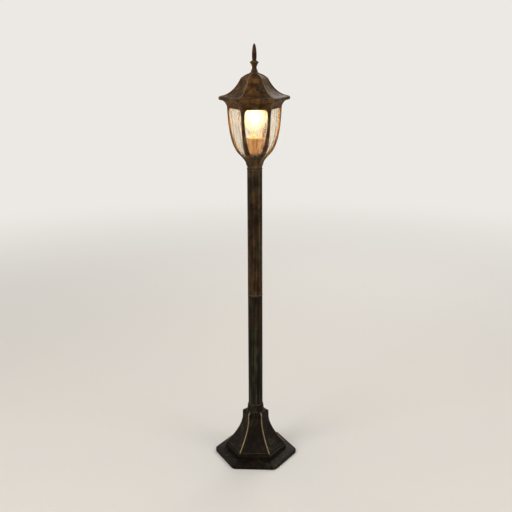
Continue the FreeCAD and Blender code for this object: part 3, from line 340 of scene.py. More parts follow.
def hexagonal_casting():
    """A tree for a casting whose rows are hexagons with rounded arrises, on which thin
    ridges may stand, and out of which a cutter's copies are taken all round."""
    tree, given = new_tree("hexagonal_casting", {
        "Arris Steps": "Int", "Flat Steps": "Int", "Ridge Width": "Float", "Ridge Rise": "Float",
        "Ridge Lift": "Float", "Cutter": "Object", "Cuts": "Int", "Skin": "Float", "Turn": "Float",
        "Lift": "Float", "Finish": "Material"})
    side_steps = maths(tree, "ADD", given["Arris Steps"], given["Flat Steps"])
    across = maths(tree, "MULTIPLY_ADD", side_steps, 6.0, 1.0)
    grid, radius, arris, height, ridge, station = sampled_rows(tree, given, across)
    side = maths(tree, "FLOOR", maths(tree, "DIVIDE", maths(tree, "ADD", station, 0.5), side_steps))
    step = maths(tree, "SUBTRACT", station, maths(tree, "MULTIPLY", side, side_steps))
    bend = maths(tree, "DIVIDE", maths(tree, "MINIMUM", step, given["Arris Steps"]), given["Arris Steps"])
    way = maths(tree, "DIVIDE", maths(tree, "SUBTRACT", step, given["Arris Steps"]), given["Flat Steps"],
                clamp=True)
    # Round the corner: an arc, or a ridge with a rounded crest.
    angle = maths(tree, "MULTIPLY_ADD", bend, math.pi / 3, -math.pi / 6)
    centre = maths(tree, "SUBTRACT", radius, maths(tree, "DIVIDE", arris, HALF))
    arc_x = maths(tree, "MULTIPLY_ADD", arris, maths(tree, "COSINE", angle), centre)
    arc_y = maths(tree, "MULTIPLY", arris, maths(tree, "SINE", angle))
    half_width = maths(tree, "MULTIPLY", given["Ridge Width"], 0.5)
    foot = maths(tree, "MULTIPLY", half_width, 1 / math.sqrt(3))
    beside = maths(tree, "COSINE", maths(tree, "MULTIPLY", bend, math.pi))
    beside = maths(tree, "MULTIPLY", beside, -1.0)
    beside = maths(tree, "MULTIPLY", maths(tree, "SIGN", beside),
                   maths(tree, "SQRT", maths(tree, "ABSOLUTE", beside)))
    crest = maths(tree, "SINE", maths(tree, "MULTIPLY", bend, math.pi))
    crest = maths(tree, "SQRT", maths(tree, "MAXIMUM", crest, 0.0))
    ridge_x = maths(tree, "MULTIPLY_ADD", crest, maths(tree, "ADD", given["Ridge Rise"], foot),
                    maths(tree, "SUBTRACT", radius, foot))
    ridge_y = maths(tree, "MULTIPLY", half_width, beside)
    ridge_z = maths(tree, "MULTIPLY", maths(tree, "MULTIPLY", crest, given["Ridge Lift"]), ridge)
    near = joined(tree, blended(tree, ridge, arc_x, ridge_x), blended(tree, ridge, arc_y, ridge_y),
                  maths(tree, "ADD", height, ridge_z))
    # Along the flat: straight from this corner's end to the next corner's start.
    end_x = blended(tree, ridge, maths(tree, "MULTIPLY_ADD", arris, HALF, centre),
                    maths(tree, "SUBTRACT", radius, foot))
    end_y = blended(tree, ridge, maths(tree, "MULTIPLY", arris, -0.5),
                    maths(tree, "MULTIPLY", half_width, -1.0))
    far = joined(tree, end_x, end_y, height)
    turn = maths(tree, "MULTIPLY", side, math.pi / 3)
    near = node(tree, "ShaderNodeVectorRotate", {"Vector": near, "Angle": turn},
                rotation_type="Z_AXIS").outputs[0]
    turn = maths(tree, "ADD", turn, math.pi / 3)
    far = node(tree, "ShaderNodeVectorRotate", {"Vector": far, "Angle": turn},
               rotation_type="Z_AXIS").outputs[0]
    place = node(tree, "ShaderNodeMix", {0: way, 4: near, 5: far}, data_type="VECTOR").outputs[1]
    shape = node(tree, "GeometryNodeSetPosition", {"Geometry": grid, "Position": place}).outputs[0]
    worn = maths(tree, "MULTIPLY", ridge, crest)
    shape = node(tree, "GeometryNodeStoreNamedAttribute",
                 {"Geometry": shape, "Name": "crest", "Value": worn}, data_type="FLOAT",
                 domain="POINT").outputs[0]
    shape = welded(tree, shape)
    # The sand's unevenness, always inwards.
    sand = node(tree, "ShaderNodeTexNoise", {"Scale": SAND_LUMPS, "Detail": 2.0}).outputs[0]
    skin = maths(tree, "MULTIPLY", maths(tree, "MULTIPLY", sand, given["Skin"]), -1.0)
    normal = node(tree, "GeometryNodeInputNormal").outputs[0]
    skin = node(tree, "ShaderNodeVectorMath", {0: normal, 3: skin}, operation="SCALE").outputs[0]
    shape = node(tree, "GeometryNodeSetPosition", {"Geometry": shape, "Offset": skin}).outputs[0]
    # The cutter's copies, spread evenly round the axis.
    cutter = node(tree, "GeometryNodeObjectInfo", {"Object": given["Cutter"]}).outputs["Geometry"]
    points = node(tree, "GeometryNodePoints", {"Count": given["Cuts"]}).outputs[0]
    number = node(tree, "GeometryNodeInputIndex").outputs[0]
    turn = maths(tree, "DIVIDE", maths(tree, "MULTIPLY", number, 2 * math.pi), given["Cuts"])
    cutters = node(tree, "GeometryNodeInstanceOnPoints",
                   {"Points": points, "Instance": cutter, "Rotation": about_pole(tree, turn)}).outputs[0]
    cutters = node(tree, "GeometryNodeRealizeInstances", {"Geometry": cutters}).outputs[0]
    shape = node(tree, "GeometryNodeMeshBoolean", {"Mesh 1": shape, "Mesh 2": cutters},
                 operation="DIFFERENCE", solver="EXACT").outputs[0]
    finished(tree, shape, given)
    return tree


CASTING = hexagonal_casting()


def cutter_of(name, columns):
    """A closed cutter for each column, which is a stack of rings with one count of points."""
    mesh = bpy.data.meshes.new(name)
    points, faces = [], []
    for rings in columns:
        first = len(points)
        size = len(rings[0])
        points += [tuple(value / 1000 for value in point) for ring in rings for point in ring]
        for level in range(len(rings) - 1):
            for number in range(size):
                low, after = first + level * size + number, first + level * size + (number + 1) % size
                faces.append((low, after, after + size, low + size))
        faces.append(tuple(range(first + size - 1, first - 1, -1)))
        faces.append(tuple(range(first + (len(rings) - 1) * size, first + len(rings) * size)))
    mesh.from_pydata(points, [], faces)
    return new_object(name, mesh)


def circle_points(radius, count, place):
    """A ring of points, each put where place says."""
    angles = [2 * math.pi * number / count for number in range(count)]
    return [place(radius * math.cos(angle), radius * math.sin(angle)) for angle in angles]


FLANGE_R = 107.8              # to its corners, before they are blunted
FLANGE_ARRIS = 12.9
FLANGE_SIDE_H, FLANGE_H = 7.8, 9.8
PLINTH_R = 80.3
PLINTH_FOOT_H, PLINTH_SIDE_H, PLINTH_H = 13.0, 23.0, 24.5
BELL_FOOT = (74.0, 29.5)
BELL_NECK = (32.5, 106.0)
BELL_SIDE_H = 117.0
BELL_TOP = (27.0, 122.5)
BELL_ROUND = 5.5
HOLLOW_NECK_R, HOLLOW_FOOT_R, HOLLOW_MOUTH_R = 28.0, 69.5, 75.8
HOLLOW_STEP = 5               # millimetres between the hollow's points, which show less
COLLAR_R, COLLAR_H = 21.4, 143.0
POLE_SOCKET_R = 18.35
TUBE_HOLE_R = 5.1
FLOOR_TOP, FLOOR_UNDER = 104.0, 96.0
FIXING_R, FIXING_PCD = 3.5, 162.0

flange = line_through((FLANGE_R, 0), ((FLANGE_R, FLANGE_SIDE_H),),
                      ((FLANGE_R - 0.59, 9.21), (FLANGE_R - 2, FLANGE_H)), ((PLINTH_R, PLINTH_FOOT_H),))
plinth = line_through((PLINTH_R, PLINTH_FOOT_H), ((PLINTH_R, PLINTH_SIDE_H),),
                      ((PLINTH_R - 0.44, 24.06), (PLINTH_R - 1.5, PLINTH_H)), ((BELL_FOOT[0], 25.5),))
bell = line_through((BELL_FOOT[0], 25.6), (BELL_FOOT,), ((50.0, 53.5), (BELL_NECK[0], 84.0), BELL_NECK),
                    ((BELL_NECK[0], BELL_SIDE_H),),
                    ((BELL_TOP[0] + BELL_ROUND * ARC, BELL_SIDE_H + BELL_ROUND * ARC), BELL_TOP),
                    ((25.4, 123.0),))
inside = line_through((HOLLOW_NECK_R, FLOOR_UNDER),
                      ((HOLLOW_NECK_R, 81.75), (45.5, 51.25), (HOLLOW_FOOT_R, 27.25)),
                      ((HOLLOW_FOOT_R, 21.0),), ((HOLLOW_MOUTH_R, 20.0),), ((HOLLOW_MOUTH_R, 0),),
                      spacing=HOLLOW_STEP)
base_rows = blunted_rows(flange, FLANGE_R, FLANGE_ARRIS)
base_rows += hexagon_rows(plinth[1:], 1.0) + hexagon_rows(bell, SHARP_ARRIS, 1.0)
base_rows += hexagon_rows([(25.2, 123.1)])
base_rows += round_rows((COLLAR_R, 123.9), (COLLAR_R, 124.5), (21.0, 130.0), (20.6, 136.0),
                        (20.4, 138.2), (20.1, 139.0), (19.4, 142.2), (19.1, 142.8), (18.9, COLLAR_H))
base_rows += round_rows((POLE_SOCKET_R, COLLAR_H), (POLE_SOCKET_R, FLOOR_TOP),
                        (TUBE_HOLE_R, FLOOR_TOP), (TUBE_HOLE_R, FLOOR_UNDER))
base_rows += hexagon_rows(inside) + base_rows[:1]

fixing_cutter = cutter_of("fixing_cutter", [
    [circle_points(FIXING_R, 24, lambda x, y: (x, y + FIXING_PCD / 2, z)) for z in (-5.0, 20.0)]])


def shifted(tree, vector, stretch, offset=(0, 0, 0)):
    """A pattern's coordinates, stretched and moved along."""
    inputs = {"Vector": vector, "Scale": stretch, "Location": offset}
    return node(tree, "ShaderNodeMapping", inputs).outputs[0]


def grain(tree, vector, scale, detail=3.0, rough=0.55):
    """Cloudy noise from 0 to 1, in features per metre."""
    inputs = {"Vector": vector, "Scale": scale, "Detail": detail, "Roughness": rough}
    return node(tree, "ShaderNodeTexNoise", inputs).outputs["Fac"]


def wear(tree, reach):
    """Two shares: how far a point is on an outer edge, where the paint wears, and how far it is in a
    recess, where the paint darkens, partly as painted shade.
    """
    soft = node(tree, "ShaderNodeBevel", {"Radius": reach}, samples=6).outputs[0]
    true = node(tree, "ShaderNodeNewGeometry").outputs["Normal"]
    same = node(tree, "ShaderNodeVectorMath", {0: soft, 1: true}, operation="DOT_PRODUCT").outputs["Value"]
    room = node(tree, "ShaderNodeAmbientOcclusion", {"Distance": reach * 5}, samples=6, only_local=True)
    room = room.outputs["AO"]
    edge = maths(tree, "MULTIPLY", between(tree, same, 0.995, 0.90), between(tree, room, 0.60, 0.90))
    return edge, between(tree, room, 0.85, 0.45)


PALE_GOLD = colour(176, 154, 118)
VERDIGRIS = colour(66, 72, 52)
CLOUDS, SPECKS, STAINS, SAND_GRAINS = 42.0, 520.0, 30.0, 1500.0    # features in a metre
CREST_WORN = (0.84, 1.0)      # the share of a ridge's height where its paint is worn off
PAINT_SHEEN = 0.08


def bronze_paint(name, dark, mid, light, brushed, streaks, reach, gold=0.8, patina=0.5):
    """Dark paint with antique bronze brushed on. Brushed is the share of the surface that
    the bronze covers, and streaks stretches its brush marks. Reach is how far the wear goes
    from an edge, gold how bare it rubs it, and patina how green the brushed parts turn."""
    material, tree = empty_material(name)
    place = node(tree, "ShaderNodeTexCoord").outputs["Object"]
    clouds = between(tree, grain(tree, place, CLOUDS, 4.0), 0.34, 0.66)
    strokes = between(tree, grain(tree, shifted(tree, place, streaks), 1.0, 4.0, 0.6), 0.42, 0.66)
    specks = shifted(tree, place, (1, 1, 0.6), (3, 1, 2))
    specks = between(tree, grain(tree, specks, SPECKS, 2.0), 0.40, 0.62)
    green = shifted(tree, place, (1, 1, 0.35), (7, 3, 5))
    green = between(tree, grain(tree, green, STAINS, 3.0), 0.46, 0.66)
    edge, recess = wear(tree, reach)
    crest = node(tree, "ShaderNodeAttribute", attribute_name="crest").outputs["Fac"]
    crest = between(tree, crest, *CREST_WORN)
    cover = maths(tree, "MULTIPLY", strokes, between(tree, clouds, 0.0, 1.0, 0.3, 1.0))
    cover = maths(tree, "MULTIPLY", cover, between(tree, specks, 0.0, 1.0, 0.5, 1.0))
    # Less bronze in recesses, where the brush misses; this also paints their shade.
    cover = maths(tree, "MULTIPLY", cover, maths(tree, "MULTIPLY_ADD", recess, -brushed, brushed))
    bare = between(tree, specks, 0.0, 0.6, gold * 0.55, gold)
    worn = maths(tree, "MULTIPLY", maths(tree, "MAXIMUM", edge, crest), bare)
    stained = maths(tree, "MULTIPLY", green, maths(tree, "MULTIPLY", strokes, patina))
    paint = mixed(tree, clouds, dark, mid)
    paint = mixed(tree, cover, paint, light)
    paint = mixed(tree, stained, paint, VERDIGRIS)
    # Recesses turn to the dark coat: the coat the brush leaves there, and painted shade.
    paint = mixed(tree, maths(tree, "MULTIPLY", recess, 0.7), paint, dark)
    paint = mixed(tree, worn, paint, PALE_GOLD)
    rough = between(tree, specks, 0.0, 1.0, 0.62, 0.46)
    metal = maths(tree, "MULTIPLY", maths(tree, "MAXIMUM", cover, worn), 0.6)
    sand = maths(tree, "ADD", grain(tree, place, SAND_GRAINS, 2.0), maths(tree, "MULTIPLY", strokes, 0.5))
    bump = node(tree, "ShaderNodeBump", {"Strength": 0.30, "Distance": 0.0003, "Height": sand}).outputs[0]
    shader = node(tree, "ShaderNodeBsdfPrincipled",
                  {"Base Color": paint, "Roughness": rough, "Metallic": metal, "Normal": bump,
                   "Specular IOR Level": PAINT_SHEEN})
    surface(tree, shader.outputs[0])
    return material


# Darker tones and less bronze than higher up: painted shade, as the lamp's light falls off towards the
# floor.
foot_bronze_painted_shade = bronze_paint("foot_bronze_painted_shade", colour(9, 6, 4), colour(20, 13, 8), colour(64, 47, 29), 0.45,
                           (130, 130, 34), 0.0012, gold=0.75, patina=0.35)
bell_base = grown("bell_base", row_mesh("base_rows", base_rows), CASTING, {
    "Arris Steps": 8, "Flat Steps": 14, "Ridge Width": 0.0034, "Ridge Rise": 0.0014,
    "Ridge Lift": 0.0014, "Cutter": fixing_cutter, "Cuts": 3, "Skin": 0.00015, "Turn": 0.0,
    "Lift": 0.0, "Finish": foot_bronze_painted_shade})
bpy.data.objects.remove(fixing_cutter)
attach(bell_base, "stand")
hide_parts("base_casting")


# ---- pole ----
# Two round tubes over a sleeve whose ring shows at the joint, and a turned ring with a bead
# under the lantern. The bronze was brushed along them, so it lies in upright streaks.
def dressed(name, material):
    """Gives a CAD node its finish."""
    NODES[name].data.materials.clear()
    NODES[name].data.materials.append(material)


# The lower tube gets darker tones and less bronze than the upper one: painted shade and painted light, as
# the lamp's light falls off down the pole.
lower_tube_bronze_painted_shade = bronze_paint("lower_tube_bronze_painted_shade", colour(13, 8, 4), colour(27, 18, 9),
                                 colour(76, 57, 34), 0.55, (180, 180, 8), 0.0008, patina=0.8)
upper_tube_bronze_painted_light = bronze_paint("upper_tube_bronze_painted_light", colour(24, 15, 7), colour(50, 34, 18),
                                 colour(106, 80, 48), 0.70, (180, 180, 7), 0.0008, patina=0.8)
for name in ("pole_lower", "pole_coupling"):
    dressed(name, lower_tube_bronze_painted_shade)
for name in ("pole_upper", "neck_ring"):
    dressed(name, upper_tube_bronze_painted_light)


# ---- threaded tube, with its nuts and washers ----
# One M10 tube clamps the base, the pole and the lantern together and carries the lead. It
# and its nuts and washers are zinc plated. Its thread is cut where it shows, at both ends.
def bare_metal(name, tint, rough, spread, scale):
    """Plain metal with a faint clouding and fine marks."""
    material, tree = empty_material(name)
    place = node(tree, "ShaderNodeTexCoord").outputs["Object"]
    clouds = grain(tree, place, scale, 3.0)
    marks = grain(tree, shifted(tree, place, (1, 1, 6)), scale * 5, 2.0)
    shade = tuple(value * spread for value in tint[:3]) + (1.0,)
    metal = mixed(tree, between(tree, clouds, 0.35, 0.65), shade, tint)
    sheen = between(tree, clouds, 0.3, 0.7, rough, rough * 1.5)
    bump = node(tree, "ShaderNodeBump", {"Strength": 0.15, "Distance": 0.0001, "Height": marks}).outputs[0]
    shader = node(tree, "ShaderNodeBsdfPrincipled",
                  {"Base Color": metal, "Metallic": 1.0, "Roughness": sheen, "Normal": bump})
    surface(tree, shader.outputs[0])
    return material


def rolled_thread():
    """A tree for a round piece whose flagged rows carry a thread: the rows' arris is their
    radius, and the flag is the thread's share of its full depth."""
    tree, given = new_tree("rolled_thread", {
        "Around": "Int", "Depth": "Float", "Pitch": "Float", "Turn": "Float", "Lift": "Float",
        "Finish": "Material"})
    across = maths(tree, "ADD", given["Around"], 1.0)
    grid, radius, arris, height, thread, station = sampled_rows(tree, given, across)
    share = maths(tree, "DIVIDE", station, given["Around"])
    phase = maths(tree, "SUBTRACT", maths(tree, "DIVIDE", height, given["Pitch"]), share)
    wave = maths(tree, "COSINE", maths(tree, "MULTIPLY", phase, 2 * math.pi))
    wave = maths(tree, "MULTIPLY", maths(tree, "MULTIPLY_ADD", wave, -0.5, 0.5), thread)
    out = maths(tree, "SUBTRACT", arris, maths(tree, "MULTIPLY", wave, given["Depth"]))
    angle = maths(tree, "MULTIPLY", share, 2 * math.pi)
    place = joined(tree, maths(tree, "MULTIPLY", out, maths(tree, "COSINE", angle)),
                   maths(tree, "MULTIPLY", out, maths(tree, "SINE", angle)), height)
    shape = node(tree, "GeometryNodeSetPosition", {"Geometry": grid, "Position": place}).outputs[0]
    finished(tree, welded(tree, shape), given, 50.0)
    return tree


ROLLED = rolled_thread()


def threaded(radius, low, high, step, fade):
    """Rows of a threaded stretch, whose thread runs out at both ends."""
    count = round((high - low) / step)
    heights = [low + (high - low) * number / count for number in range(count + 1)]
    return [(radius, radius, z, min(1.0, (z - low) / fade, (high - z) / fade)) for z in heights]


TUBE_R, TUBE_BORE_R = 5.0, 3.6
TUBE_FOOT, TUBE_TOP = 82.0, 801.3
TUBE_BEVEL = 0.5
TUBE_THREAD_STEP = 0.17       # millimetres between its rows
zinc_plate = bare_metal("zinc_plate", colour(190, 190, 186), 0.28, 0.72, 260.0)
tube_rows = round_rows((TUBE_BORE_R, TUBE_FOOT), (TUBE_R - TUBE_BEVEL, TUBE_FOOT))
tube_rows += threaded(TUBE_R, TUBE_FOOT + 0.3, FLOOR_TOP, TUBE_THREAD_STEP, 1.0)
tube_rows += threaded(TUBE_R, 782.0, TUBE_TOP - 0.3, TUBE_THREAD_STEP, 1.0)
tube_rows += round_rows((TUBE_R - TUBE_BEVEL, TUBE_TOP), (TUBE_BORE_R, TUBE_TOP), (TUBE_BORE_R, TUBE_FOOT))
threaded_tube = grown("threaded_tube", row_mesh("tube_rows", tube_rows), ROLLED, {
    "Around": 28, "Depth": 0.0005, "Pitch": 0.001, "Turn": 0.0, "Lift": 0.0, "Finish": zinc_plate})
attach(threaded_tube, "stand")
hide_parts("tie_tube")
for name in ("tie_washer", "tie_nut", "cage_washer", "cage_nut", "holder_nut"):
    dressed(name, zinc_plate)


# ---- lantern cage ----
# Cup, six ribs and frieze are one casting in the base's finish, given lighter tones than the base
# as painted light from the lamp. The ribs follow an S-shaped line, and the windows between them
# are cut with small round corners at the sill.
HEAD_TURN = 6.6               # degrees that the head stands turned on the pole
HEAD_LIFT = 764.0
CAGE_FOOT_R, CAGE_SOCKET_R, CAGE_SOCKET_L = 18.6, 16.05, 14.0
CAGE_FLOOR = 18.8
CAGE_WALL = 3.4
LANTERN_R, LANTERN_H = 64.5, 140.0
FRIEZE_R, FRIEZE_H = 75.3, 157.7
ROOF_SEAT_R, SEAL_SEAT_R, SEAL_SEAT_H = 65.1, 61.1, 156.5
SILL_H, SILL_CORNER, SILL_W = 26.0, 3.0, 10.0
HEAD_W, SPREAD_W, SPREAD_H, RIB_RUN = 26.55, 5.5, 14.0, 44.0


def lantern_line(inset, spacing=PROFILE_STEP):
    """The corner line of cup and ribs, moved inwards, from the neck to the frieze."""
    line = line_through((20.6, 4.2), ((20.6, 12.2), (26.5, 19.0), (37.0, 29.5)),
                        ((58.0, 50.5), (62.5, 98.0), (LANTERN_R, LANTERN_H)), spacing=spacing)
    return moved(line, -inset, inset * 0.4)


def radius_at(line, height):
    """The radius of a line that only climbs, at a height."""
    for (r, z), (next_r, next_z) in zip(line, line[1:]):
        if z <= height <= next_z:
            return r + (next_r - r) * (height - z) / (next_z - z)
    return line[-1][0]


outer_line = lantern_line(0)
inner_line = lantern_line(CAGE_WALL)
cage_rows = round_rows((CAGE_FOOT_R, 0), (CAGE_FOOT_R, 2.2)) + hexagon_rows(outer_line)
cage_rows += hexagon_rows(line_through((LANTERN_R, LANTERN_H), ((67.6, 149.6), (FRIEZE_R, 157.3)),
                                       ((FRIEZE_R, FRIEZE_H),))[1:])
cage_rows += hexagon_rows([(ROOF_SEAT_R, FRIEZE_H), (ROOF_SEAT_R, SEAL_SEAT_H), (SEAL_SEAT_R, SEAL_SEAT_H)])
cage_rows += hexagon_rows([point for point in reversed(inner_line) if point[1] > CAGE_FLOOR + 1])
cage_rows += hexagon_rows([(radius_at(inner_line, CAGE_FLOOR), CAGE_FLOOR)])
cage_rows += round_rows((TUBE_HOLE_R, CAGE_FLOOR), (TUBE_HOLE_R, -CAGE_SOCKET_L),
                        (CAGE_SOCKET_R, -CAGE_SOCKET_L), (CAGE_SOCKET_R, 0), (CAGE_FOOT_R, 0))


def window_rings():
    """The front window's cutter, as level rings that reach in to just behind the wall."""
    bend = SILL_CORNER * (1 - ARC)
    head_h = LANTERN_H - SPREAD_H
    side = line_through((SILL_W - SILL_CORNER, SILL_H),
                        ((SILL_W - bend, SILL_H + bend), (SILL_W, SILL_H + SILL_CORNER)),
                        ((SILL_W + 8.5, SILL_H + 21.0), (HEAD_W, head_h - RIB_RUN), (HEAD_W, head_h)),
                        ((HEAD_W - SPREAD_W * 0.3, LANTERN_H - SPREAD_H * 0.35),
                         (HEAD_W - SPREAD_W, LANTERN_H)))
    deep = moved(inner_line, -4.0, 0)
    levels = [(w, z, -radius_at(deep, z) * HALF) for w, z in side]
    return [[(-w, -90.0, z), (w, -90.0, z), (w, back, z), (-w, back, z)] for w, z, back in levels]


def turned_rings(rings, degrees):
    """A cutter's rings, turned about the pole's axis."""
    turn = Matrix.Rotation(math.radians(degrees), 3, "Z")
    return [[tuple(turn @ Vector(point)) for point in ring] for ring in rings]


GRUB_R, GRUB_H = 2.1, 152.0
grub_rings = [circle_points(GRUB_R, 16, lambda x, z: (-x, y, z + GRUB_H)) for y in (50.0, 90.0)]
window_cutter = cutter_of("window_cutter",
                          [window_rings(), turned_rings(window_rings(), 60), grub_rings])
# Lighter tones and more bronze than the base and pole: painted light from the lamp.
lantern_bronze_painted_light = bronze_paint("lantern_bronze_painted_light", colour(40, 25, 11), colour(78, 50, 23),
                              colour(136, 100, 54), 0.65, (120, 120, 40), 0.0010, gold=0.45, patina=0.35)
lantern_frame = grown("lantern_frame", row_mesh("cage_rows", cage_rows), CASTING, {
    "Arris Steps": 6, "Flat Steps": 12, "Ridge Width": 0.0, "Ridge Rise": 0.0, "Ridge Lift": 0.0,
    "Cutter": window_cutter, "Cuts": 3, "Skin": 0.0001, "Turn": HEAD_TURN,
    "Lift": HEAD_LIFT / 1000, "Finish": lantern_bronze_painted_light})
bpy.data.objects.remove(window_cutter)
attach(lantern_frame, "stand")
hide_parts("lantern_cage")


# ---- panes, keeper and seal ----
# Six curved panes of clear rolled glass, mitred behind the ribs, smooth outside and rippled
# upright inside, with seeds in them. A steel ring lies on their top edges.
def rippled_pane():
    """A tree for a pane between two lines: each row's radius is to the hexagon's corner, its
    arris is the radius halfway through the glass, and the flag is 1 on the inner face."""
    tree, given = new_tree("rippled_pane", {
        "Columns": "Int", "Mitre": "Float", "Ripple": "Float", "Seed": "Float", "Turn": "Float",
        "Lift": "Float", "Finish": "Material"})
    across = maths(tree, "ADD", given["Columns"], 2.0)
    grid, radius, middle, height, inner, station = sampled_rows(tree, given, across)
    share = maths(tree, "DIVIDE", maths(tree, "SUBTRACT", station, 1.0),
                  maths(tree, "SUBTRACT", given["Columns"], 1.0))
    share = maths(tree, "MINIMUM", maths(tree, "MAXIMUM", share, 0.0), 1.0)
    wide = maths(tree, "MULTIPLY_ADD", share, 2.0, -1.0)
    edge = maths(tree, "MAXIMUM", maths(tree, "LESS_THAN", station, 0.5),
                 maths(tree, "GREATER_THAN", station, maths(tree, "ADD", given["Columns"], 0.5)))
    depth = maths(tree, "MULTIPLY", blended(tree, edge, radius, middle), HALF)
    half_width = maths(tree, "SUBTRACT", depth, given["Mitre"])
    half_width = maths(tree, "MULTIPLY", half_width, 1 / math.sqrt(3))
    x = maths(tree, "MULTIPLY", wide, half_width)
    pattern = joined(tree, maths(tree, "MULTIPLY", x, RIPPLES_ACROSS), given["Seed"],
                     maths(tree, "MULTIPLY", height, RIPPLES_UP))
    waves = node(tree, "ShaderNodeTexNoise", {"Vector": pattern, "Scale": 1.0, "Detail": 1.5}).outputs[0]
    waves = between(tree, waves, 0.30, 0.70)
    flow = maths(tree, "MULTIPLY", maths(tree, "MULTIPLY", waves, given["Ripple"]), inner)
    flow = maths(tree, "MULTIPLY", flow, maths(tree, "SUBTRACT", 1.0, edge))
    y = maths(tree, "MULTIPLY", maths(tree, "ADD", depth, flow), -1.0)
    place = joined(tree, x, y, height)
    shape = node(tree, "GeometryNodeSetPosition", {"Geometry": grid, "Position": place}).outputs[0]
    finished(tree, welded(tree, shape), given)
    return tree


def clear_glass(name, tint, rough, seeds=0.0, glow=None, glow_span=(0, 0, 0, 0)):
    """Clear glass that lets the lamps' light through. Seeds is the height of its small
    bubbles, and a painted glow lies between the heights of its span."""
    material, tree = empty_material(name)
    place = node(tree, "ShaderNodeTexCoord").outputs["Object"]
    inputs = {"Base Color": tint, "Roughness": rough, "Transmission Weight": 1.0, "IOR": 1.46}
    if seeds:
        bubbles = between(tree, grain(tree, place, 330.0, 0.0), 0.64, 0.74)
        flow = grain(tree, shifted(tree, place, (240, 240, 26)), 1.0, 2.0)
        height = maths(tree, "ADD", maths(tree, "MULTIPLY", flow, 0.5), bubbles)
        inputs["Normal"] = node(tree, "ShaderNodeBump", {"Strength": 0.6, "Distance": seeds,
                                                         "Height": height}).outputs[0]
    # A painted glow: the glass gives light between the span's heights.
    if glow:
        height = node(tree, "ShaderNodeSeparateXYZ", {0: place}).outputs[2]
        rise = between(tree, height, glow_span[0], glow_span[1])
        fall = between(tree, height, glow_span[2], glow_span[3], 1.0, 0.0)
        inputs["Emission Color"] = mixed(tree, maths(tree, "MULTIPLY", rise, fall), (0, 0, 0, 1), glow[0])
        inputs["Emission Strength"] = glow[1]
    glass = node(tree, "ShaderNodeBsdfPrincipled", inputs).outputs[0]
    clear = node(tree, "ShaderNodeBsdfTransparent", {"Color": tint}).outputs[0]
    shadow = node(tree, "ShaderNodeLightPath").outputs["Is Shadow Ray"]
    surface(tree, node(tree, "ShaderNodeMixShader", {0: shadow, 1: glass, 2: clear}).outputs[0])
    return material


GLASS_INSET, GLASS_T, GLASS_MITRE = 3.7, 3.0, 0.4
PANE_LOW, PANE_HIGH, PANE_ROWS = CAGE_FLOOR, 144.5, 66
PANE_STEP = 1.0               # millimetres between its lines' points
RIPPLE = 0.0007               # its height, in metres
RIPPLES_ACROSS, RIPPLES_UP = 130.0, 13.0    # in a metre
SEED_STEP = 3.7               # sets one pane's ripple apart from the next one's
PANE = rippled_pane()
rolled_glass = clear_glass("rolled_glass", colour(253, 249, 238), 0.03, 0.0006)
pane_outer = lantern_line(GLASS_INSET, PANE_STEP)
pane_inner = lantern_line(GLASS_INSET + GLASS_T, PANE_STEP)
pane_heights = [PANE_LOW + (PANE_HIGH - PANE_LOW) * number / PANE_ROWS for number in range(PANE_ROWS + 1)]
pane_edges = [(radius_at(pane_outer, z), radius_at(pane_inner, z), z) for z in pane_heights]
pane_rows = [(out, (out + back) / 2, z, 0.0) for out, back, z in pane_edges]
pane_rows += [(back, (out + back) / 2, z, 1.0) for out, back, z in reversed(pane_edges)] + pane_rows[:1]
for number in range(1, 7):
    pane = grown(f"rippled_pane_{number}", row_mesh("pane_rows", pane_rows), PANE, {
        "Columns": 34, "Mitre": GLASS_MITRE / 1000, "Ripple": RIPPLE, "Seed": number * SEED_STEP,
        "Turn": HEAD_TURN + 60.0 * (number - 1), "Lift": HEAD_LIFT / 1000, "Finish": rolled_glass})
    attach(pane, "stand")
    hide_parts(f"glass_pane_{number}")


def plain_finish(name, tint, rough, scale=500.0, spread=0.8, bump=0.15):
    """Painted, moulded or glazed surface with a faint clouding and a fine texture."""
    material, tree = empty_material(name)
    place = node(tree, "ShaderNodeTexCoord").outputs["Object"]
    clouds = grain(tree, place, scale, 3.0)
    shade = tuple(value * spread for value in tint[:3]) + (1.0,)
    paint = mixed(tree, between(tree, clouds, 0.35, 0.65), shade, tint)
    relief = {"Strength": bump, "Distance": 0.0003, "Height": clouds}
    relief = node(tree, "ShaderNodeBump", relief).outputs[0]
    shader = node(tree, "ShaderNodeBsdfPrincipled",
                  {"Base Color": paint, "Roughness": rough, "Normal": relief})
    surface(tree, shader.outputs[0])
    return material


keeper_paint = plain_finish("keeper_paint", colour(46, 38, 30), 0.5)
seal_rubber = plain_finish("seal_rubber", colour(38, 37, 36), 0.75)
dressed("glass_keeper", keeper_paint)
dressed("roof_seal", seal_rubber)
dressed("roof_grub_screws", zinc_plate)


# ---- roof and finial ----
# The flared roof is cast with a thin ridge on each corner, and its spigot drops into the
# frieze. A turned spear is screwed down on its crown.
ROOF_LIFT = 922.0
RIM_R, RIM_ARRIS = 86.0, 10.9
RIM_EDGE_R, RIM_H = 81.3, 9.4
RIDGE_FADE = 3                # millimetres in which the ridges rise at the rim
SHOULDER = (31.5, 49.2)
CROWN_R, CROWN_H = 12.6, 61.0
ROOF_WALL = 3.0
ATTIC_R = 65.0
EAVES_R, EAVES_H = 66.0, 6.4
SPIGOT_R, SPIGOT_WALL, SPIGOT_L = 60.6, 2.6, 11.7
STUD_HOLE_R = 3.1

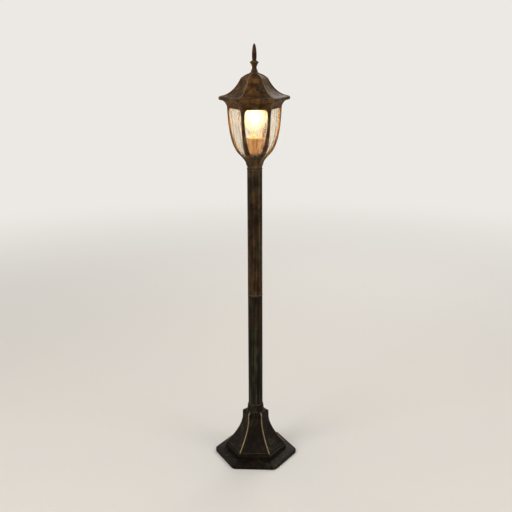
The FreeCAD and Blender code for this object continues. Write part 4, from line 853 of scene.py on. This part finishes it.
rim = line_through((RIM_EDGE_R, 0), ((85.2, 1.6), (RIM_R, 4.7)), ((85.2, 7.8), (RIM_EDGE_R, RIM_H)))
flank = line_through((RIM_EDGE_R, RIM_H), ((57.3, 10.5), (41.0, 30.2), SHOULDER),
                     ((22.05, 55.9), (CROWN_R, 60.2)))
attic = [point for point in reversed(moved(flank, -ROOF_WALL, -ROOF_WALL)) if point[0] < ATTIC_R]
roof_rows = blunted_rows(rim, RIM_R, RIM_ARRIS)
roof_rows += blunted_rows(flank[1:], RIM_R, RIM_ARRIS, lambda r: min(1.0, (RIM_EDGE_R - r) / RIDGE_FADE))
roof_rows += hexagon_rows([(CROWN_R, CROWN_H)]) + round_rows((STUD_HOLE_R, CROWN_H), (STUD_HOLE_R, 57.2))
roof_rows += hexagon_rows(attic)
roof_rows += hexagon_rows([(EAVES_R, 7.6), (EAVES_R, EAVES_H), (SPIGOT_R - SPIGOT_WALL, EAVES_H)])
roof_rows += hexagon_rows([(SPIGOT_R - SPIGOT_WALL, -SPIGOT_L), (SPIGOT_R, -SPIGOT_L), (SPIGOT_R, 0)])
roof_rows += roof_rows[:1]
# The roof and the finial wear the lantern's lighter tones, painted light from the lamp.
flared_roof = grown("flared_roof", row_mesh("roof_rows", roof_rows), CASTING, {
    "Arris Steps": 8, "Flat Steps": 14, "Ridge Width": 0.0028, "Ridge Rise": 0.0008,
    "Ridge Lift": 0.00056, "Cutter": None, "Cuts": 0, "Skin": 0.00015, "Turn": HEAD_TURN,
    "Lift": ROOF_LIFT / 1000, "Finish": lantern_bronze_painted_light})
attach(flared_roof, "roof")
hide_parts("roof_casting")
dressed("finial", lantern_bronze_painted_light)
dressed("finial_washer", zinc_plate)
dressed("finial_nut", zinc_plate)


# ---- lampholder ----
# An amber glazed ceramic holder with a brass screw shell, a sprung brass contact and two
# terminal screws, held by a nut on the threaded tube. The glaze ran down it in dark streaks.
def streaked_glaze(name, pale, dark):
    """A glossy glaze with darker runs down it."""
    material, tree = empty_material(name)
    place = node(tree, "ShaderNodeTexCoord").outputs["Object"]
    runs = grain(tree, shifted(tree, place, (1, 1, 0.16)), 150.0, 3.0, 0.6)
    fine = grain(tree, shifted(tree, place, (1, 1, 0.10), (2, 5, 1)), 420.0, 2.0)
    share = maths(tree, "MULTIPLY_ADD", between(tree, fine, 0.4, 0.62), 0.35,
                  between(tree, runs, 0.44, 0.62, 0.0, 0.65))
    relief = node(tree, "ShaderNodeBump", {"Strength": 0.2, "Distance": 0.0003, "Height": runs}).outputs[0]
    shader = node(tree, "ShaderNodeBsdfPrincipled",
                  {"Base Color": mixed(tree, share, pale, dark), "Roughness": 0.22, "Normal": relief})
    surface(tree, shader.outputs[0])
    return material


contact_brass = bare_metal("contact_brass", colour(212, 178, 104), 0.25, 0.85, 300.0)
dressed("lampholder_body", streaked_glaze("amber_glaze", colour(204, 148, 70), colour(84, 54, 20)))
for name in ("lampholder_shell", "lampholder_contact", "lampholder_screws"):
    dressed(name, contact_brass)


# ---- bulb ----
# A clear bulb with four straight coated filaments on a glass stem, in an E27 cap with a
# rolled thread. It is lit, so the filaments glow, and the glass beside them gets a painted glow
# for their haze.
FILAMENT_GLOW = 8.0
PAINTED_HAZE_GLOW = 0.16
GLOW_COLOUR = colour(255, 214, 140)
PAINTED_HAZE_COLOUR = colour(255, 226, 168)
PAINTED_HAZE_SPAN = (0.838, 0.868, 0.895, 0.922)    # heights where it starts, is full, fades and ends
BULB_FOOT = 812.1
CAP_R, CAP_FOOT, CAP_TOP = 13.1, 3.6, 23.6
CAP_THREAD_STEP = 0.36        # millimetres between its rows
THREAD_DEPTH, THREAD_PITCH = 0.9, 3.629


def glowing(name, tint, strength):
    """A plain coat that gives light."""
    material, tree = empty_material(name)
    inputs = {"Base Color": tint, "Roughness": 0.5, "Emission Color": tint, "Emission Strength": strength}
    surface(tree, node(tree, "ShaderNodeBsdfPrincipled", inputs).outputs[0])
    return material


# The bulb's glass glows between these heights: a painted glow for the filaments' haze.
bulb_clear_painted_haze = clear_glass("bulb_clear_painted_haze", colour(255, 252, 244), 0.0, glow=(PAINTED_HAZE_COLOUR, PAINTED_HAZE_GLOW),
                         glow_span=PAINTED_HAZE_SPAN)
dressed("bulb_glass", bulb_clear_painted_haze)
dressed("bulb_stem", bulb_clear_painted_haze)
dressed("bulb_filaments", glowing("filament_glow", GLOW_COLOUR, FILAMENT_GLOW))
dressed("bulb_supports", bare_metal("support_wire", colour(180, 180, 178), 0.3, 0.8, 300.0))
dressed("bulb_insulator", plain_finish("black_insulator", colour(24, 24, 26), 0.2))
dressed("bulb_contact", contact_brass)

cap_metal = bare_metal("bulb_cap_metal", colour(205, 203, 198), 0.25, 0.85, 200.0)
cap_rows = round_rows((0, CAP_FOOT), (8.5, CAP_FOOT), (CAP_R - 0.2, 6.7), (CAP_R, 7.0))
cap_rows += threaded(CAP_R, 7.3, 21.8, CAP_THREAD_STEP, 2.0)
cap_rows += round_rows((CAP_R, 22.5), (CAP_R, CAP_TOP), (CAP_R - 0.25, CAP_TOP), (11.9, 22.0),
                       (11.6, 8.0), (8.4, 4.4), (0, 4.4), (0, CAP_FOOT))
rolled_cap = grown("rolled_cap", row_mesh("cap_rows", cap_rows), ROLLED, {
    "Around": 48, "Depth": THREAD_DEPTH / 1000, "Pitch": THREAD_PITCH / 1000, "Turn": 0.0,
    "Lift": BULB_FOOT / 1000, "Finish": cap_metal})
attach(rolled_cap, "bulb")
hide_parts("bulb_cap")

BULB_MIDDLE = (0, 0, 0.881)
BULB_WATTS = 0.9
FILAMENTS_R = 0.012
lamp = new_object("bulb_light", bpy.data.lights.new("bulb_light", "POINT"))
lamp.data.energy = BULB_WATTS
lamp.data.color = GLOW_COLOUR[:3]
lamp.data.shadow_soft_size = FILAMENTS_R
lamp.location = BULB_MIDDLE


# ---- wiring ----
# The rubber lead runs from the terminal block in the base up the tube to the holder, and
# the earth conductor goes to a lug under the base's floor.
dressed("internal_lead", plain_finish("lead_sheath", colour(34, 34, 36), 0.6))
dressed("tube_bush", seal_rubber)
dressed("terminal_block", plain_finish("block_plastic", colour(222, 218, 206), 0.45))
dressed("terminal_block_screws", zinc_plate)
dressed("earth_lug", contact_brass)
dressed("earth_screw", zinc_plate)
dressed("earth_lead", plain_finish("earth_sheath", colour(110, 160, 50), 0.5))
